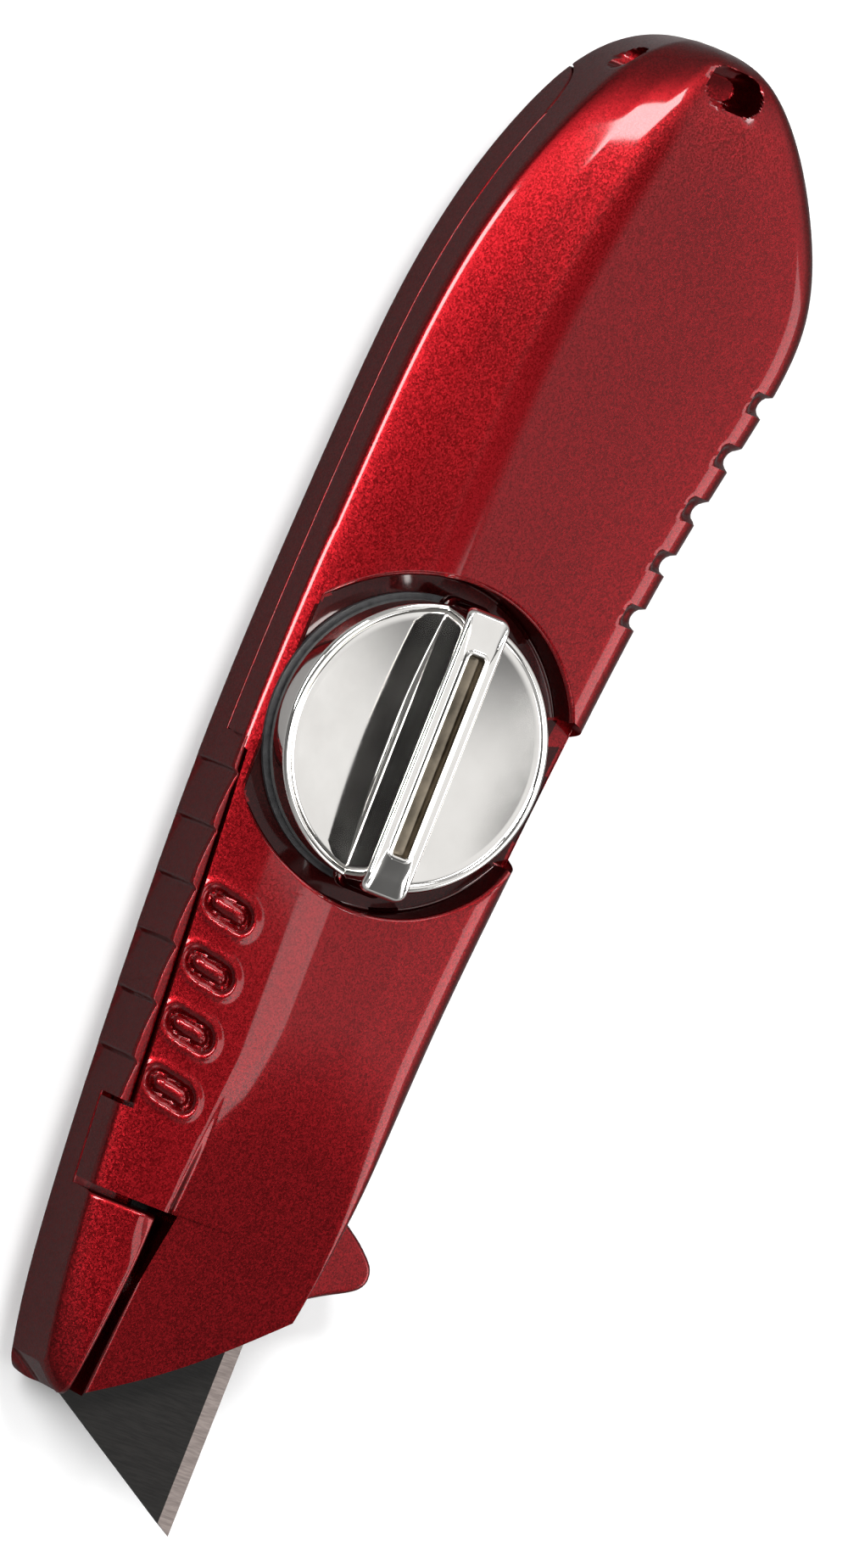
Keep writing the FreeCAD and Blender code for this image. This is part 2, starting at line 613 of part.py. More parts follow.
def make_dial():
    """Chrome lock dial: a dished disc with a grip bar across it and an engraved slot in the bar."""
    body = new_body("dial")
    profile = sketch_on(body, "dial_profile", "XZ_Plane")
    radius, low, high = "Sizes.dial_radius", "Sizes.dial_bottom", "Sizes.dial_top"
    add_polygon(profile, (("0", low), (f"{radius} - 0.6", low), (radius, f"{low} + 0.6"),
                          (radius, f"{high} - 0.9"), (f"{radius} - 0.35", f"{high} - 0.25"),
                          (f"{radius} - 1.1", high), (f"{radius} - 2.6", f"{high} - 0.1"),
                          ("0", f"{high} - Sizes.dial_dish")))
    disc = body.newObject("PartDesign::Revolution", "dial_disc")
    disc.Profile = profile
    disc.ReferenceAxis = (profile, ["V_Axis"])
    disc.Angle = 360.0
    doc.recompute()

    outline = sketch_on(body, "bar_outline", "XY_Plane", "Sizes.dial_top - 2")
    long_half, wide_half = "Sizes.bar_length / 2", "Sizes.bar_width / 2"
    add_polygon(outline, ((f"-({long_half})", f"-({wide_half})"), (long_half, f"-({wide_half})"),
                          (long_half, wide_half), (f"-({long_half})", wide_half)))
    bar = feature(body, "Pad", "grip_bar", outline, Length="(Sizes.bar_top - Sizes.dial_top + 2) * 1 mm")
    doc.recompute()
    top = size("bar_top")
    ends = rounded_edges(body, bar, "bar_ends", 1.2, lambda e: e.BoundBox.ZMin > top - 0.01
                         and abs(e.BoundBox.XMax - e.BoundBox.XMin) < 0.01)
    rounded_edges(body, ends, "bar_sides", 0.5, lambda e: e.BoundBox.ZMin > top - 0.01
                  and e.BoundBox.XLength > 10)
    mark = sketch_on(body, "bar_mark", "XY_Plane", "Sizes.bar_top - Sizes.bar_slot_depth")
    long_half, wide_half = "Sizes.bar_slot_length / 2", "Sizes.bar_slot_width / 2"
    add_polygon(mark, ((f"-({long_half})", f"-({wide_half})"), (long_half, f"-({wide_half})"),
                       (long_half, wide_half), (f"-({long_half})", wide_half)))
    doc.recompute()
    engraved = feature(body, "Pocket", "bar_slot", mark, Length="2 mm")
    engraved.Reversed = True
    cut_checked(body, engraved)
    socket = sketch_on(body, "hub_socket", "XY_Plane", "Sizes.dial_bottom - 1")
    add_circle(socket, "0", "0", "Sizes.hub_radius")
    bore_depth = "(Sizes.hub_top - Sizes.dial_bottom + 1) * 1 mm"
    bore = feature(body, "Pocket", "hub_bore", socket, Length=bore_depth)
    bore.Reversed = True
    cut_checked(body, bore)
    dimples = sketch_on(body, "detent_dimples", "XY_Plane", "Sizes.dial_bottom - 1")
    add_circle(dimples, "Sizes.detent_x", "0", "Sizes.ball_radius * 0.8")
    add_circle(dimples, "0", "Sizes.detent_x", "Sizes.ball_radius * 0.8")
    dimple_cut = feature(body, "Pocket", "dimples", dimples, Length="1.5 mm")
    dimple_cut.Reversed = True
    cut_checked(body, dimple_cut)
    return body


def make_spindle():
    """Turned spindle with a clip groove, a neck and a bayonet foot, joined from primitives."""
    pieces = []
    runs = (("hub", "hub_radius", "hub_bottom", "groove_bottom"),
            ("groove", "groove_radius", "groove_bottom - 0.1", "groove_bottom + Sizes.groove_width + 0.1"),
            ("head", "hub_radius", "groove_bottom + Sizes.groove_width", "hub_top"),
            ("neck", "neck_radius", "foot_bottom", "hub_bottom + 0.1"))
    for name, radius, low, high in runs:
        piece = doc.addObject("Part::Cylinder", f"spindle_{name}")
        piece.setExpression("Radius", f"Sizes.{radius} * 1 mm")
        piece.setExpression("Height", f"(Sizes.{high} - (Sizes.{low})) * 1 mm")
        piece.setExpression("Placement.Base.z", f"(Sizes.{low}) * 1 mm")
        pieces.append(piece)
    foot = doc.addObject("Part::Box", "spindle_foot")
    foot.setExpression("Length", "Sizes.foot_length * 1 mm")
    foot.setExpression("Width", "Sizes.foot_width * 1 mm")
    foot.setExpression("Height", "(Sizes.foot_top - Sizes.foot_bottom) * 1 mm")
    foot.setExpression("Placement.Base.x", "-Sizes.foot_length / 2 * 1 mm")
    foot.setExpression("Placement.Base.y", "-Sizes.foot_width / 2 * 1 mm")
    foot.setExpression("Placement.Base.z", "Sizes.foot_bottom * 1 mm")
    joined = doc.addObject("Part::MultiFuse", "spindle_joined")
    joined.Shapes = pieces + [foot]
    doc.recompute()
    rounded = doc.addObject("Part::Fillet", "dial_spindle")
    rounded.Base = joined
    upright = [k + 1 for k, e in enumerate(joined.Shape.Edges)
               if e.BoundBox.ZLength > 1.0 and e.BoundBox.XLength < 0.01 and abs(e.BoundBox.YMin) > 2.4
               and abs(e.BoundBox.XMin) > 6.0]
    rounded.Edges = [(k, 1.8, 1.8) for k in upright]
    return labelled(rounded, "dial_spindle")


def labelled(item, label):
    item.Label = label
    return item


def make_ring(label, outer, inner, low, thick, extra_cut=None):
    """Flat ring about the dial axis: one cylinder cut by another."""
    disc = doc.addObject("Part::Cylinder", f"{label}_disc")
    disc.setExpression("Radius", f"({outer}) * 1 mm")
    disc.setExpression("Height", f"({thick}) * 1 mm")
    disc.setExpression("Placement.Base.z", f"({low}) * 1 mm")
    hole = doc.addObject("Part::Cylinder", f"{label}_hole")
    hole.setExpression("Radius", f"({inner}) * 1 mm")
    hole.setExpression("Height", f"({thick} + 2) * 1 mm")
    hole.setExpression("Placement.Base.z", f"({low} - 1) * 1 mm")
    ring = doc.addObject("Part::Cut", f"{label}_ring" if extra_cut else label)
    ring.Base = disc
    ring.Tool = hole
    if extra_cut:
        opened = doc.addObject("Part::Cut", label)
        opened.Base = ring
        opened.Tool = extra_cut
        ring = opened
    return labelled(ring, label)


def make_clip():
    """Snap ring in the spindle's groove, open on one side."""
    gap = doc.addObject("Part::Box", "clip_gap")
    gap.setExpression("Length", "Sizes.clip_radius * 2 mm")
    gap.setExpression("Width", "Sizes.groove_radius * 1.5 mm")
    gap.setExpression("Height", "Sizes.clip_thick * 3 mm")
    gap.setExpression("Placement.Base.y", "-Sizes.groove_radius * 0.75 mm")
    gap.setExpression("Placement.Base.z", "(Sizes.groove_bottom - 0.5) * 1 mm")
    return make_ring("spindle_clip", "Sizes.clip_radius", "Sizes.groove_radius",
                     "Sizes.groove_bottom + 0.05", "Sizes.clip_thick", gap)


def make_washer():
    """Sliding ring on the recess floor, with a hole for the detent ball."""
    hole = doc.addObject("Part::Cylinder", "washer_ball_hole")
    hole.setExpression("Radius", "(Sizes.detent_bore + 0.2) * 1 mm")
    hole.setExpression("Height", "Sizes.washer_thick * 4 mm")
    hole.setExpression("Placement.Base.x", "Sizes.detent_x * 1 mm")
    hole.setExpression("Placement.Base.z", "(Sizes.recess_floor - 0.5) * 1 mm")
    return make_ring("dial_washer", "Sizes.washer_radius", "Sizes.hub_radius + 0.6",
                     "Sizes.recess_floor", "Sizes.washer_thick", hole)


# ---------------------------------------------------------------- small parts

def make_lock_plate():
    """Steel plate under the dial with the bayonet slot and two screw holes."""
    body = new_body("lock_plate")
    outline = sketch_on(body, "plate_outline", "XY_Plane", "Sizes.plate_bottom")
    half_x, half_y = "Sizes.plate_length / 2", "Sizes.plate_width / 2"
    chamfer = "3"
    rear, front = f"-({half_x})", half_x
    low, high = f"-({half_y})", half_y
    add_polygon(outline, ((f"{rear} + {chamfer}", low), (f"{front} - {chamfer}", low),
                          (front, f"{low} + {chamfer}"), (front, f"{high} - {chamfer}"),
                          (f"{front} - {chamfer}", high), (f"{rear} + {chamfer}", high),
                          (rear, f"{high} - {chamfer}"), (rear, f"{low} + {chamfer}")))
    feature(body, "Pad", "plate_pad", outline, Length="Sizes.plate_thick * 1 mm")
    doc.recompute()
    holes = sketch_on(body, "plate_slot", "XY_Plane", "Sizes.plate_bottom - 1")
    long_half, wide_half = "Sizes.slot_length / 2", "Sizes.slot_width / 2"
    add_polygon(holes, ((f"-({long_half})", f"-({wide_half})"), (long_half, f"-({wide_half})"),
                        (long_half, wide_half), (f"-({long_half})", wide_half)))
    add_circle(holes, "0", "Sizes.screw_y", "Sizes.screw_radius + 0.1")
    add_circle(holes, "0", "-Sizes.screw_y", "Sizes.screw_radius + 0.1")
    cut = feature(body, "Pocket", "plate_holes", holes)
    cut.Type = 1
    cut_checked(body, cut)
    return body


def make_hinge_pin():
    """Steel pin along the hinge axis."""
    body = new_body("hinge_pin")
    sketch = sketch_on(body, "hinge_pin_circle", "XZ_Plane", "-Sizes.hinge_pin_inner")
    add_circle(sketch, "Sizes.hinge_x", "Sizes.hinge_z", "Sizes.hinge_pin_radius")
    feature(body, "Pad", "hinge_pin_pad", sketch,
            Length="(Sizes.hinge_pin_inner - Sizes.hinge_pin_outer) * 1 mm")
    return body


def make_tray():
    """Thin tray for the spare blades: a floor, one rail and an ear for its screws."""
    body = new_body("spare_blade_tray")
    section = sketch_on(body, "tray_section", "YZ_Plane", "Sizes.spare_x - Sizes.tray_length / 2")
    low, high = "Sizes.wall", "Sizes.wall + Sizes.tray_thick"
    rail = "Sizes.wall + Sizes.tray_rail"
    near = "Sizes.spare_y - Sizes.blade_width / 2 - 0.6"
    far = "Sizes.spare_y + Sizes.blade_width / 2 + Sizes.blade_room"
    add_polygon(section, ((near, low), (f"{far} + 0.6", low), (f"{far} + 0.6", rail), (far, rail),
                          (far, high), (near, high)))
    feature(body, "Pad", "tray_pad", section, Length="Sizes.tray_length * 1 mm")
    ear = sketch_on(body, "tray_ear", "XY_Plane", "Sizes.wall")
    half = "Sizes.ear_length / 2"
    ear_start, ear_stop = f"Sizes.ear_x - {half}", f"Sizes.ear_x + {half}"
    add_polygon(ear, ((ear_start, "Sizes.ear_reach"), (ear_stop, "Sizes.ear_reach"),
                      (ear_stop, f"{near} + 0.1"), (ear_start, f"{near} + 0.1")))
    feature(body, "Pad", "tray_ear_pad", ear, Length="Sizes.tray_thick * 1 mm")
    doc.recompute()
    drill_for_tray_screws(body, "tray")
    return body


def drill_for_tray_screws(body, name):
    """Two upright holes through a body, where the tray's screws pass."""
    holes = sketch_on(body, f"{name}_holes", "XY_Plane", "Sizes.wall - 1")
    for side in ("+", "-"):
        add_circle(holes, f"Sizes.ear_x {side} Sizes.tray_screw_pitch / 2", "Sizes.tray_screw_y",
                   "Sizes.tray_screw_radius + 0.05")
    cut = feature(body, "Pocket", f"{name}_hole_cut", holes)
    cut.Type = 1
    cut_checked(body, cut)


def make_leaf_spring():
    """Leaf spring held by the tray screws: a flat foot, a rise and a long arm over the blades."""
    body = new_body("spare_blade_spring")
    section = sketch_on(body, "leaf_section", "YZ_Plane", "Sizes.ear_x - Sizes.ear_length / 2")
    foot = "Sizes.wall + Sizes.tray_thick"
    stack = "Sizes.wall + Sizes.tray_thick + 3 * Sizes.blade_thick + 0.05"
    thick = "Sizes.leaf_thick"
    end = "Sizes.ear_reach"
    add_polygon(section, ((end, foot), (end, f"{foot} + {thick}"), ("-13.7", f"{foot} + {thick}"),
                          ("-13.3", f"{stack} + 1.2 + {thick}"), ("3", f"{stack} + {thick}"),
                          ("5", f"{stack} + {thick} + 0.5"), ("5", f"{stack} + 0.5"),
                          ("3", stack), ("-12.9", f"{stack} + 1.2"), ("-13.3", foot)))
    feature(body, "Pad", "leaf_pad", section, Length="Sizes.ear_length * 1 mm")
    doc.recompute()
    drill_for_tray_screws(body, "leaf")
    return body


def screw(x, y, under_head, length, radius, head_radius):
    """Pan-head screw pointing down, with a cross recess in its head."""
    head = Part.makeCylinder(head_radius, size("head_thick"), V(0, 0, 0))
    head = head.makeFillet(0.5, [e for e in head.Edges if e.BoundBox.ZMin > 0.5 and len(e.Vertexes) == 1])
    shank = Part.makeCylinder(radius, length, V(0, 0, -length))
    reach = 0.6 * head_radius
    arm = box(-reach, -0.25, size("head_thick") - 0.6, reach, 0.25, 3)
    cross = arm.fuse(arm.rotated(V(0, 0, 0), UP, 90))
    return head.fuse(shank).cut(cross).translated(V(x, y, under_head))


def make_groups():
    """Groups of like pieces that share a node, each a compound of separate solids."""
    top = size("plate_bottom") + size("plate_thick")
    plate_screws = [screw(0, side * size("screw_y"), top, size("plate_screw_length"), size("screw_radius"),
                          size("head_radius")) for side in (-1, 1)]
    leaf_top = size("wall") + size("tray_thick") + size("leaf_thick")
    tray_screws = [screw(x, y, leaf_top, size("tray_screw_length"), size("tray_screw_radius"),
                         size("tray_head_radius")) for x, y, _ in tray_screw_places()]
    pins = [rod(size("pin_radius"), V(x, y, size("pin_bottom")), V(x, y, size("pin_top")))
            for x, y in pin_places()]
    bushes = []
    for outer in (True, False):
        y0, y1 = lug_range(outer)
        bush = hinge_axis(size("bush_radius"), y0, y1)
        bushes.append(bush.cut(hinge_axis(size("hinge_pin_radius") + size("running_gap"))))
    groups = (("lock_plate_screws", plate_screws), ("tray_screws", tray_screws),
              ("blade_locating_pins", pins), ("hinge_bushes", bushes))
    return [feature_of(label, Part.makeCompound(solids)) for label, solids in groups]


def make_magnet():
    magnet = doc.addObject("Part::Cylinder", "blade_magnet")
    magnet.setExpression("Radius", "Sizes.magnet_radius * 1 mm")
    magnet.setExpression("Height", "Sizes.magnet_thick * 1 mm")
    magnet.setExpression("Placement.Base.x", "Sizes.magnet_x * 1 mm")
    magnet.setExpression("Placement.Base.y", "Sizes.magnet_y * 1 mm")
    magnet.setExpression("Placement.Base.z", "(Sizes.seam_height - Sizes.blade_thick / 2"
                         " - Sizes.contact_gap - Sizes.magnet_thick) * 1 mm")
    return labelled(magnet, "blade_magnet")


def make_pad():
    """Rubber pad in the front shell that holds the blade down."""
    pad = doc.addObject("Part::Box", "blade_pad")
    pad.setExpression("Length", "Sizes.pad_length * 1 mm")
    pad.setExpression("Width", "Sizes.pad_width * 1 mm")
    pad.setExpression("Height", "Sizes.pad_thick * 1 mm")
    pad.setExpression("Placement.Base.x", "(Sizes.pad_x - Sizes.pad_length / 2) * 1 mm")
    pad.setExpression("Placement.Base.y", "(Sizes.pad_y - Sizes.pad_width / 2) * 1 mm")
    pad.setExpression("Placement.Base.z",
                      "(Sizes.seam_height + Sizes.blade_thick / 2 + Sizes.contact_gap) * 1 mm")
    return labelled(pad, "blade_pad")


def make_ball():
    ball = doc.addObject("Part::Sphere", "detent_ball")
    ball.setExpression("Radius", "Sizes.ball_radius * 1 mm")
    ball.setExpression("Placement.Base.x", "Sizes.detent_x * 1 mm")
    ball.setExpression("Placement.Base.z", "Sizes.ball_z * 1 mm")
    return labelled(ball, "detent_ball")


def make_detent_spring():
    """Small compression spring under the ball: a round wire carried along a helix."""
    wire = size("spring_wire")
    low = size("detent_bottom") + wire
    high = size("ball_z") - size("ball_radius") - wire
    radius = size("detent_bore") - wire - 0.15
    path = Part.Wire(Part.makeHelix((high - low) / 3.5, high - low, radius).Edges)
    circle = Part.Circle(V(radius, 0, 0), V(0, 1, 0), wire).toShape()
    coil = path.makePipeShell([Part.Wire([circle])], True, True)
    return feature_of("detent_spring", coil.translated(V(size("detent_x"), 0, low)))


# ---------------------------------------------------------------- build and write

def build():
    sub_parts = [
        feature_of("back_shell", make_back_shell()),
        feature_of("front_shell", make_front_shell()),
        make_dial(),
        make_spindle(),
        make_washer(),
        make_clip(),
        make_ring("wave_washer", "Sizes.clip_radius", "Sizes.hub_radius + 0.3",
                  "Sizes.floor_under - Sizes.wave_thick - 0.05", "Sizes.wave_thick"),
        make_ball(),
        make_detent_spring(),
        make_lock_plate(),
        make_hinge_pin(),
        make_blade("blade", "Sizes.blade_x", "Sizes.blade_y", "Sizes.seam_height"),
        make_magnet(),
        make_pad(),
        make_tray(),
        make_leaf_spring(),
    ]
    for index in range(3):
        height = f"Sizes.wall + Sizes.tray_thick + {index + 0.5} * Sizes.blade_thick"
        sub_parts.append(make_blade(f"spare_blade_{index + 1}", "Sizes.spare_x", "Sizes.spare_y", height))
    return sub_parts + make_groups()


def check_and_write(sub_parts):
    """Stop on any failed object or bad shape, then write one STEP file per sub-part."""
    doc.recompute()
    for item in doc.Objects:
        if "Invalid" in item.State or "Error" in item.State:
            raise RuntimeError(f"{item.Label}: {item.State}")
    for item in sub_parts:
        shape = item.Shape
        if shape.isNull() or not shape.isValid():
            raise RuntimeError(f"{item.Label}: bad shape")
    for item in sub_parts:
        item.Shape.exportStep(f"parts/{item.Label}.step")
        print(f"{item.Label}: {len(item.Shape.Solids)} solids, {item.Shape.Volume:.1f} mm3")


check_and_write(build())
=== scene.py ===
import math

import bmesh
import bpy
import numpy as np
from mathutils import Matrix, Vector


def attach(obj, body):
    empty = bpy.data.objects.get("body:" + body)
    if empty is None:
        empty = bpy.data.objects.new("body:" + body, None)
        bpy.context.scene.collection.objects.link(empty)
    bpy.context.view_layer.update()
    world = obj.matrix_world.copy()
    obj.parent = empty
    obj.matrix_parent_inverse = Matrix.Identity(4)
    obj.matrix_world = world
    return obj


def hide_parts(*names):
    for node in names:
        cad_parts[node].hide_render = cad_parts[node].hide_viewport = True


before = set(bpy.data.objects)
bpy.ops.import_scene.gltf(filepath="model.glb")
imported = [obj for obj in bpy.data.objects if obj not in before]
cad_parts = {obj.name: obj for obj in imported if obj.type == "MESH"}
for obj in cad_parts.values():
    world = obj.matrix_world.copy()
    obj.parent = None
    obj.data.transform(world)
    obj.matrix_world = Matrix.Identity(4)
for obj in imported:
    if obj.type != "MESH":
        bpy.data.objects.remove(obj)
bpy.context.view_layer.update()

MM = 0.001

# ---------------------------------------------------------------- driving sizes, in millimetres

SEAM = 10.0
SEAM_GAP = 0.1
WALL = 2.0
CROWN = 0.3
BACK_FACET = 5.0
BACK_EXTRA = 0.25
BELLY_ROUND = 8.0
SHOULDER_ROUND = 4.6
SHOULDER_CROWN = 0.45
FULL_WIDTH = 30.0
NOSE_PLANE_X = -37.0
NOSE_PLANE_SLOPE = 0.154
STEP_X = -55.0
RECESS_R = 18.25
RECESS_FLOOR = 15.25
RIM_ROUND = 0.5
DIAL_R = 15.55
DIAL_LOW = 15.9
DIAL_TOP = 20.0
BAR_TOP = 25.1
HINGE_X = 67.7
HINGE_Z = 3.8
KNUCKLE_R = 5.9
TAB_REAR = -5.3
TAB_FRONT = -45.6
BOSS_Y = 11.0
EDGE = 0.22
SOFT_FACET = 4.6
SOFT_FACE = 5.2
WELD = 0.004
NOSE_TIP_X = -77.2
NOSE_PIECE_RISE = 7.0
OVAL_X, OVAL_Y = -23.0, 12.1
OVAL_PITCH, OVAL_STEP_Y = 6.63, 0.42
OVAL_LENGTH, OVAL_WIDTH, OVAL_DEPTH = 5.9, 3.3, 0.62
NOTCH_X, NOTCH_PITCH, NOTCH_COUNT = 21.4, 6.5, 5
NOTCH_HALF, NOTCH_DEPTH = 1.25, 1.05
HOLE_X, HOLE_Z, HOLE_R = 76.2, 12.6, 1.75
POCKET_X, POCKET_Y, POCKET_LENGTH, POCKET_WIDTH = 77.0, -7.4, 7.4, 5.0
RECESS_END = 18.76
HINGE_GAP = 0.3
SOLID_REAR = 64.7
COVER_SOLID_FRONT = -23.0
HANDLE_SOLID_FRONT = -24.0
RECESS_WALL_X = 20.4
RECESS_ROOF = 13.2
STORE_ROOF = 18.0
BAR_LENGTH, BAR_WIDTH = 32.0, 5.4
SLOT_LENGTH, SLOT_WIDTH = 22.5, 1.9

# Stations along X: spine edge, belly edge, crease line, height over the seam, shoulder height.
STATIONS = np.array((
    (-77.2, 10.8, -12.4, 4.0, 10.0, 5.0),
    (-71.0, 12.5, -12.4, 4.0, 10.0, 5.0),
    (-60.0, 13.8, -13.5, 4.0, 10.0, 5.0),
    (-46.0, 15.0, -15.1, 4.0, 10.0, 5.0),
    (-28.0, 16.1, -15.5, 4.0, 10.0, 5.0),
    (-9.0, 17.0, -17.3, 4.0, 10.0, 5.0),
    (10.0, 16.7, -19.1, 4.0, 10.0, 5.0),
    (28.0, 15.9, -21.3, 4.0, 10.0, 5.0),
    (44.0, 15.0, -24.9, 3.5, 10.0, 5.2),
    (57.0, 12.5, -27.5, 1.5, 10.0, 5.4),
    (68.0, 8.5, -22.3, -0.5, 10.0, 5.8),
    (77.5, 3.3, -15.3, -3.0, 9.4, 5.6),
    (80.9, -2.8, -9.7, -5.0, 7.4, 4.0),
    (80.9, -5.6, -6.8, -6.2, 1.2, 0.6),
))
COLUMNS = len(STATIONS)
POLES = 12
U_END = COLUMNS - 3
W_END = POLES - 2


# ---------------------------------------------------------------- handle surface

def basis(count, degree, t):
    """Open uniform B-spline basis values by the Cox-de Boor rule, for a whole array of places t."""
    knots = np.concatenate([np.zeros(degree), np.arange(count - degree + 1.0),
                            np.full(degree, count - degree)])
    t = np.clip(np.asarray(t, float), 0, count - degree - 1e-9)[..., None]
    value = ((t >= knots[:-1]) & (t < knots[1:])).astype(float)
    for d in range(1, degree + 1):
        n = value.shape[-1] - 1
        rise = knots[d:d + n] - knots[:n]
        fall = knots[d + 1:d + 1 + n] - knots[1:1 + n]
        up = np.where(rise > 0, (t - knots[:n]) / np.where(rise > 0, rise, 1), 0)
        down = np.where(fall > 0, (knots[d + 1:d + 1 + n] - t) / np.where(fall > 0, fall, 1), 0)
        value = up * value[..., :-1] + down * value[..., 1:]
    return value


def poles(inset=0.0, extra=0.0):
    """Poles of the half sections as (station, pole, y and height over the seam)."""
    x, spine, belly, crease, height, shoulder = STATIONS.T
    scale = np.minimum(1.0, (spine - belly) / FULL_WIDTH)
    lift = height / 10.0
    crown = CROWN * lift
    if extra:
        crease = np.maximum(crease, spine - BACK_FACET)
    spine = spine - inset
    belly = belly + inset
    height = height - inset + extra * lift
    shoulder = shoulder - inset / 2
    run = crease - spine
    rise = height - crown - shoulder
    length = np.maximum(np.hypot(run, rise), 1e-6)
    step_y = run / length * scale
    step_z = rise / length * scale
    corner = height - crown - 0.2 * lift
    rows = (
        (spine, 0 * x),
        (spine, shoulder - 1.2 * lift),
        (spine, shoulder - SHOULDER_CROWN * lift),
        (spine + SHOULDER_ROUND * step_y, shoulder + SHOULDER_ROUND * step_z),
        (crease - SOFT_FACET * step_y, height - crown - SOFT_FACET * step_z),
        (crease, height - crown),
        (crease - SOFT_FACE * scale, height - 0.4 * crown),
        ((crease + belly) / 2, height),
        (belly + BELLY_ROUND * scale, height - 0.3 * crown),
        (belly, corner),
        (belly, corner - 0.75 * BELLY_ROUND * lift),
        (belly, 0 * x),
    )
    return np.stack([np.stack(row, -1) for row in rows], 1)


FRONT = poles()
BACK = poles(extra=BACK_EXTRA)
FRONT_INSIDE = poles(inset=WALL)
BACK_INSIDE = poles(inset=WALL, extra=BACK_EXTRA)
U_TABLE = np.linspace(0, U_END, 6000)
X_TABLE = basis(COLUMNS, 3, U_TABLE) @ STATIONS[:, 0]


def u_at(x):
    """Parameter along the handle at a place x."""
    return np.interp(x, X_TABLE, U_TABLE)


def section(u, w, net):
    """Point (y, height) of the spline surface: cubic along the handle, quadratic round the section."""
    u, w = np.broadcast_arrays(np.asarray(u, float), np.asarray(w, float))
    along = basis(COLUMNS, 3, u)
    around = basis(POLES, 2, w)
    return np.einsum("...i,...j,ijk->...k", along, around, net, optimize=True)


def solve(test, low, high, steps=34):
    """Bisection on whole arrays: the place where the rising function test passes zero."""
    low, high = np.array(low, float), np.array(high, float)
    for _ in range(steps):
        middle = (low + high) / 2
        below = test(middle) < 0
        low = np.where(below, middle, low)
        high = np.where(below, high, middle)
    return (low + high) / 2


def w_for_y(x, y, low=0.0, high=float(W_END), net=FRONT):
    """Place round the section where the surface passes y, going from the spine to the belly."""
    u = u_at(x)
    start, stop = np.full(np.shape(u), low), np.full(np.shape(u), high)
    return solve(lambda w: y - section(u, w, net)[..., 0], start, stop)


def smooth_step(t):
    """0 below 0, 1 above 1, and the cubic 3t^2 - 2t^3 between."""
    t = np.clip(t, 0, 1)
    return t * t * (3 - 2 * t)


def soft_min(a, b, k):
    """Smaller of a and b, with the corner between them rounded over a width k."""
    share = np.clip(0.5 + 0.5 * (b - a) / k, 0, 1)
    return b * (1 - share) + a * share - k * share * (1 - share)


def stadium(across, along, length, width):
    """Signed distance from the rim of an oblong with half-round ends."""
    past = np.maximum(np.abs(along) - (length - width) / 2, 0)
    return np.hypot(across, past) - width / 2


def belly_line(x):
    """Belly edge in plan at the seam."""
    return section(u_at(x), W_END, FRONT)[..., 0]


def tab_line(x):
    """Inner edge of the thumb tab in plan, a straight line."""
    share = (x - TAB_REAR) / (TAB_FRONT - TAB_REAR)
    return 16.3 - 2.7 * share


def slot_line(x):
    """Plate side of the slot beside the nose piece in plan."""
    return 4.75 + (6.45 - 4.75) * (STEP_X - x) / 21.3


def nose_plane(x):
    """Height of the nose plate's plane, which falls towards the front."""
    return 20.0 - NOSE_PLANE_SLOPE * np.maximum(NOSE_PLANE_X - x, -60)


# ---------------------------------------------------------------- meshes

def grid_faces(rows, columns, start=0, wrap=False):
    """Quads of a grid of vertices counted row by row, with the last column joined round if asked."""
    index = np.arange(rows * columns).reshape(rows, columns) + start
    if wrap:
        index = np.hstack([index, index[:, :1]])
    a, b = index[:-1, :-1].ravel(), index[:-1, 1:].ravel()
    c, d = index[1:, 1:].ravel(), index[1:, :-1].ravel()
    return np.stack([a, b, c, d], 1)


def mesh_from(name, grids, cap=True):
    """One closed mesh from several grids of points: doubles merged, ends capped, normals outwards."""
    points, faces, start = [], [], 0
    for grid, wrap in grids:
        rows, columns = grid.shape[:2]
        points.append(grid.reshape(-1, 3))
        faces.append(grid_faces(rows, columns, start, wrap))
        start += rows * columns
    points = np.concatenate(points) * MM
    faces = np.concatenate(faces)
    mesh = bpy.data.meshes.new(name)
    mesh.from_pydata(points.tolist(), [], faces.tolist())
    work = bmesh.new()
    work.from_mesh(mesh)
    bmesh.ops.remove_doubles(work, verts=work.verts, dist=WELD * MM)
    bmesh.ops.dissolve_degenerate(work, edges=work.edges, dist=WELD * MM)
    if cap:
        open_edges = [e for e in work.edges if e.is_boundary]
        if open_edges:
            bmesh.ops.holes_fill(work, edges=open_edges, sides=0)
        bmesh.ops.triangulate(work, faces=[f for f in work.faces if len(f.verts) > 4])
    bmesh.ops.recalc_face_normals(work, faces=work.faces)
    if work.calc_volume(signed=True) < 0:
        bmesh.ops.reverse_faces(work, faces=work.faces)
    for face in work.faces:
        face.smooth = True
    work.to_mesh(mesh)
    work.free()
    mesh.update()
    shade(mesh)
    piece = bpy.data.objects.new(name, mesh)
    bpy.context.scene.collection.objects.link(piece)
    return piece


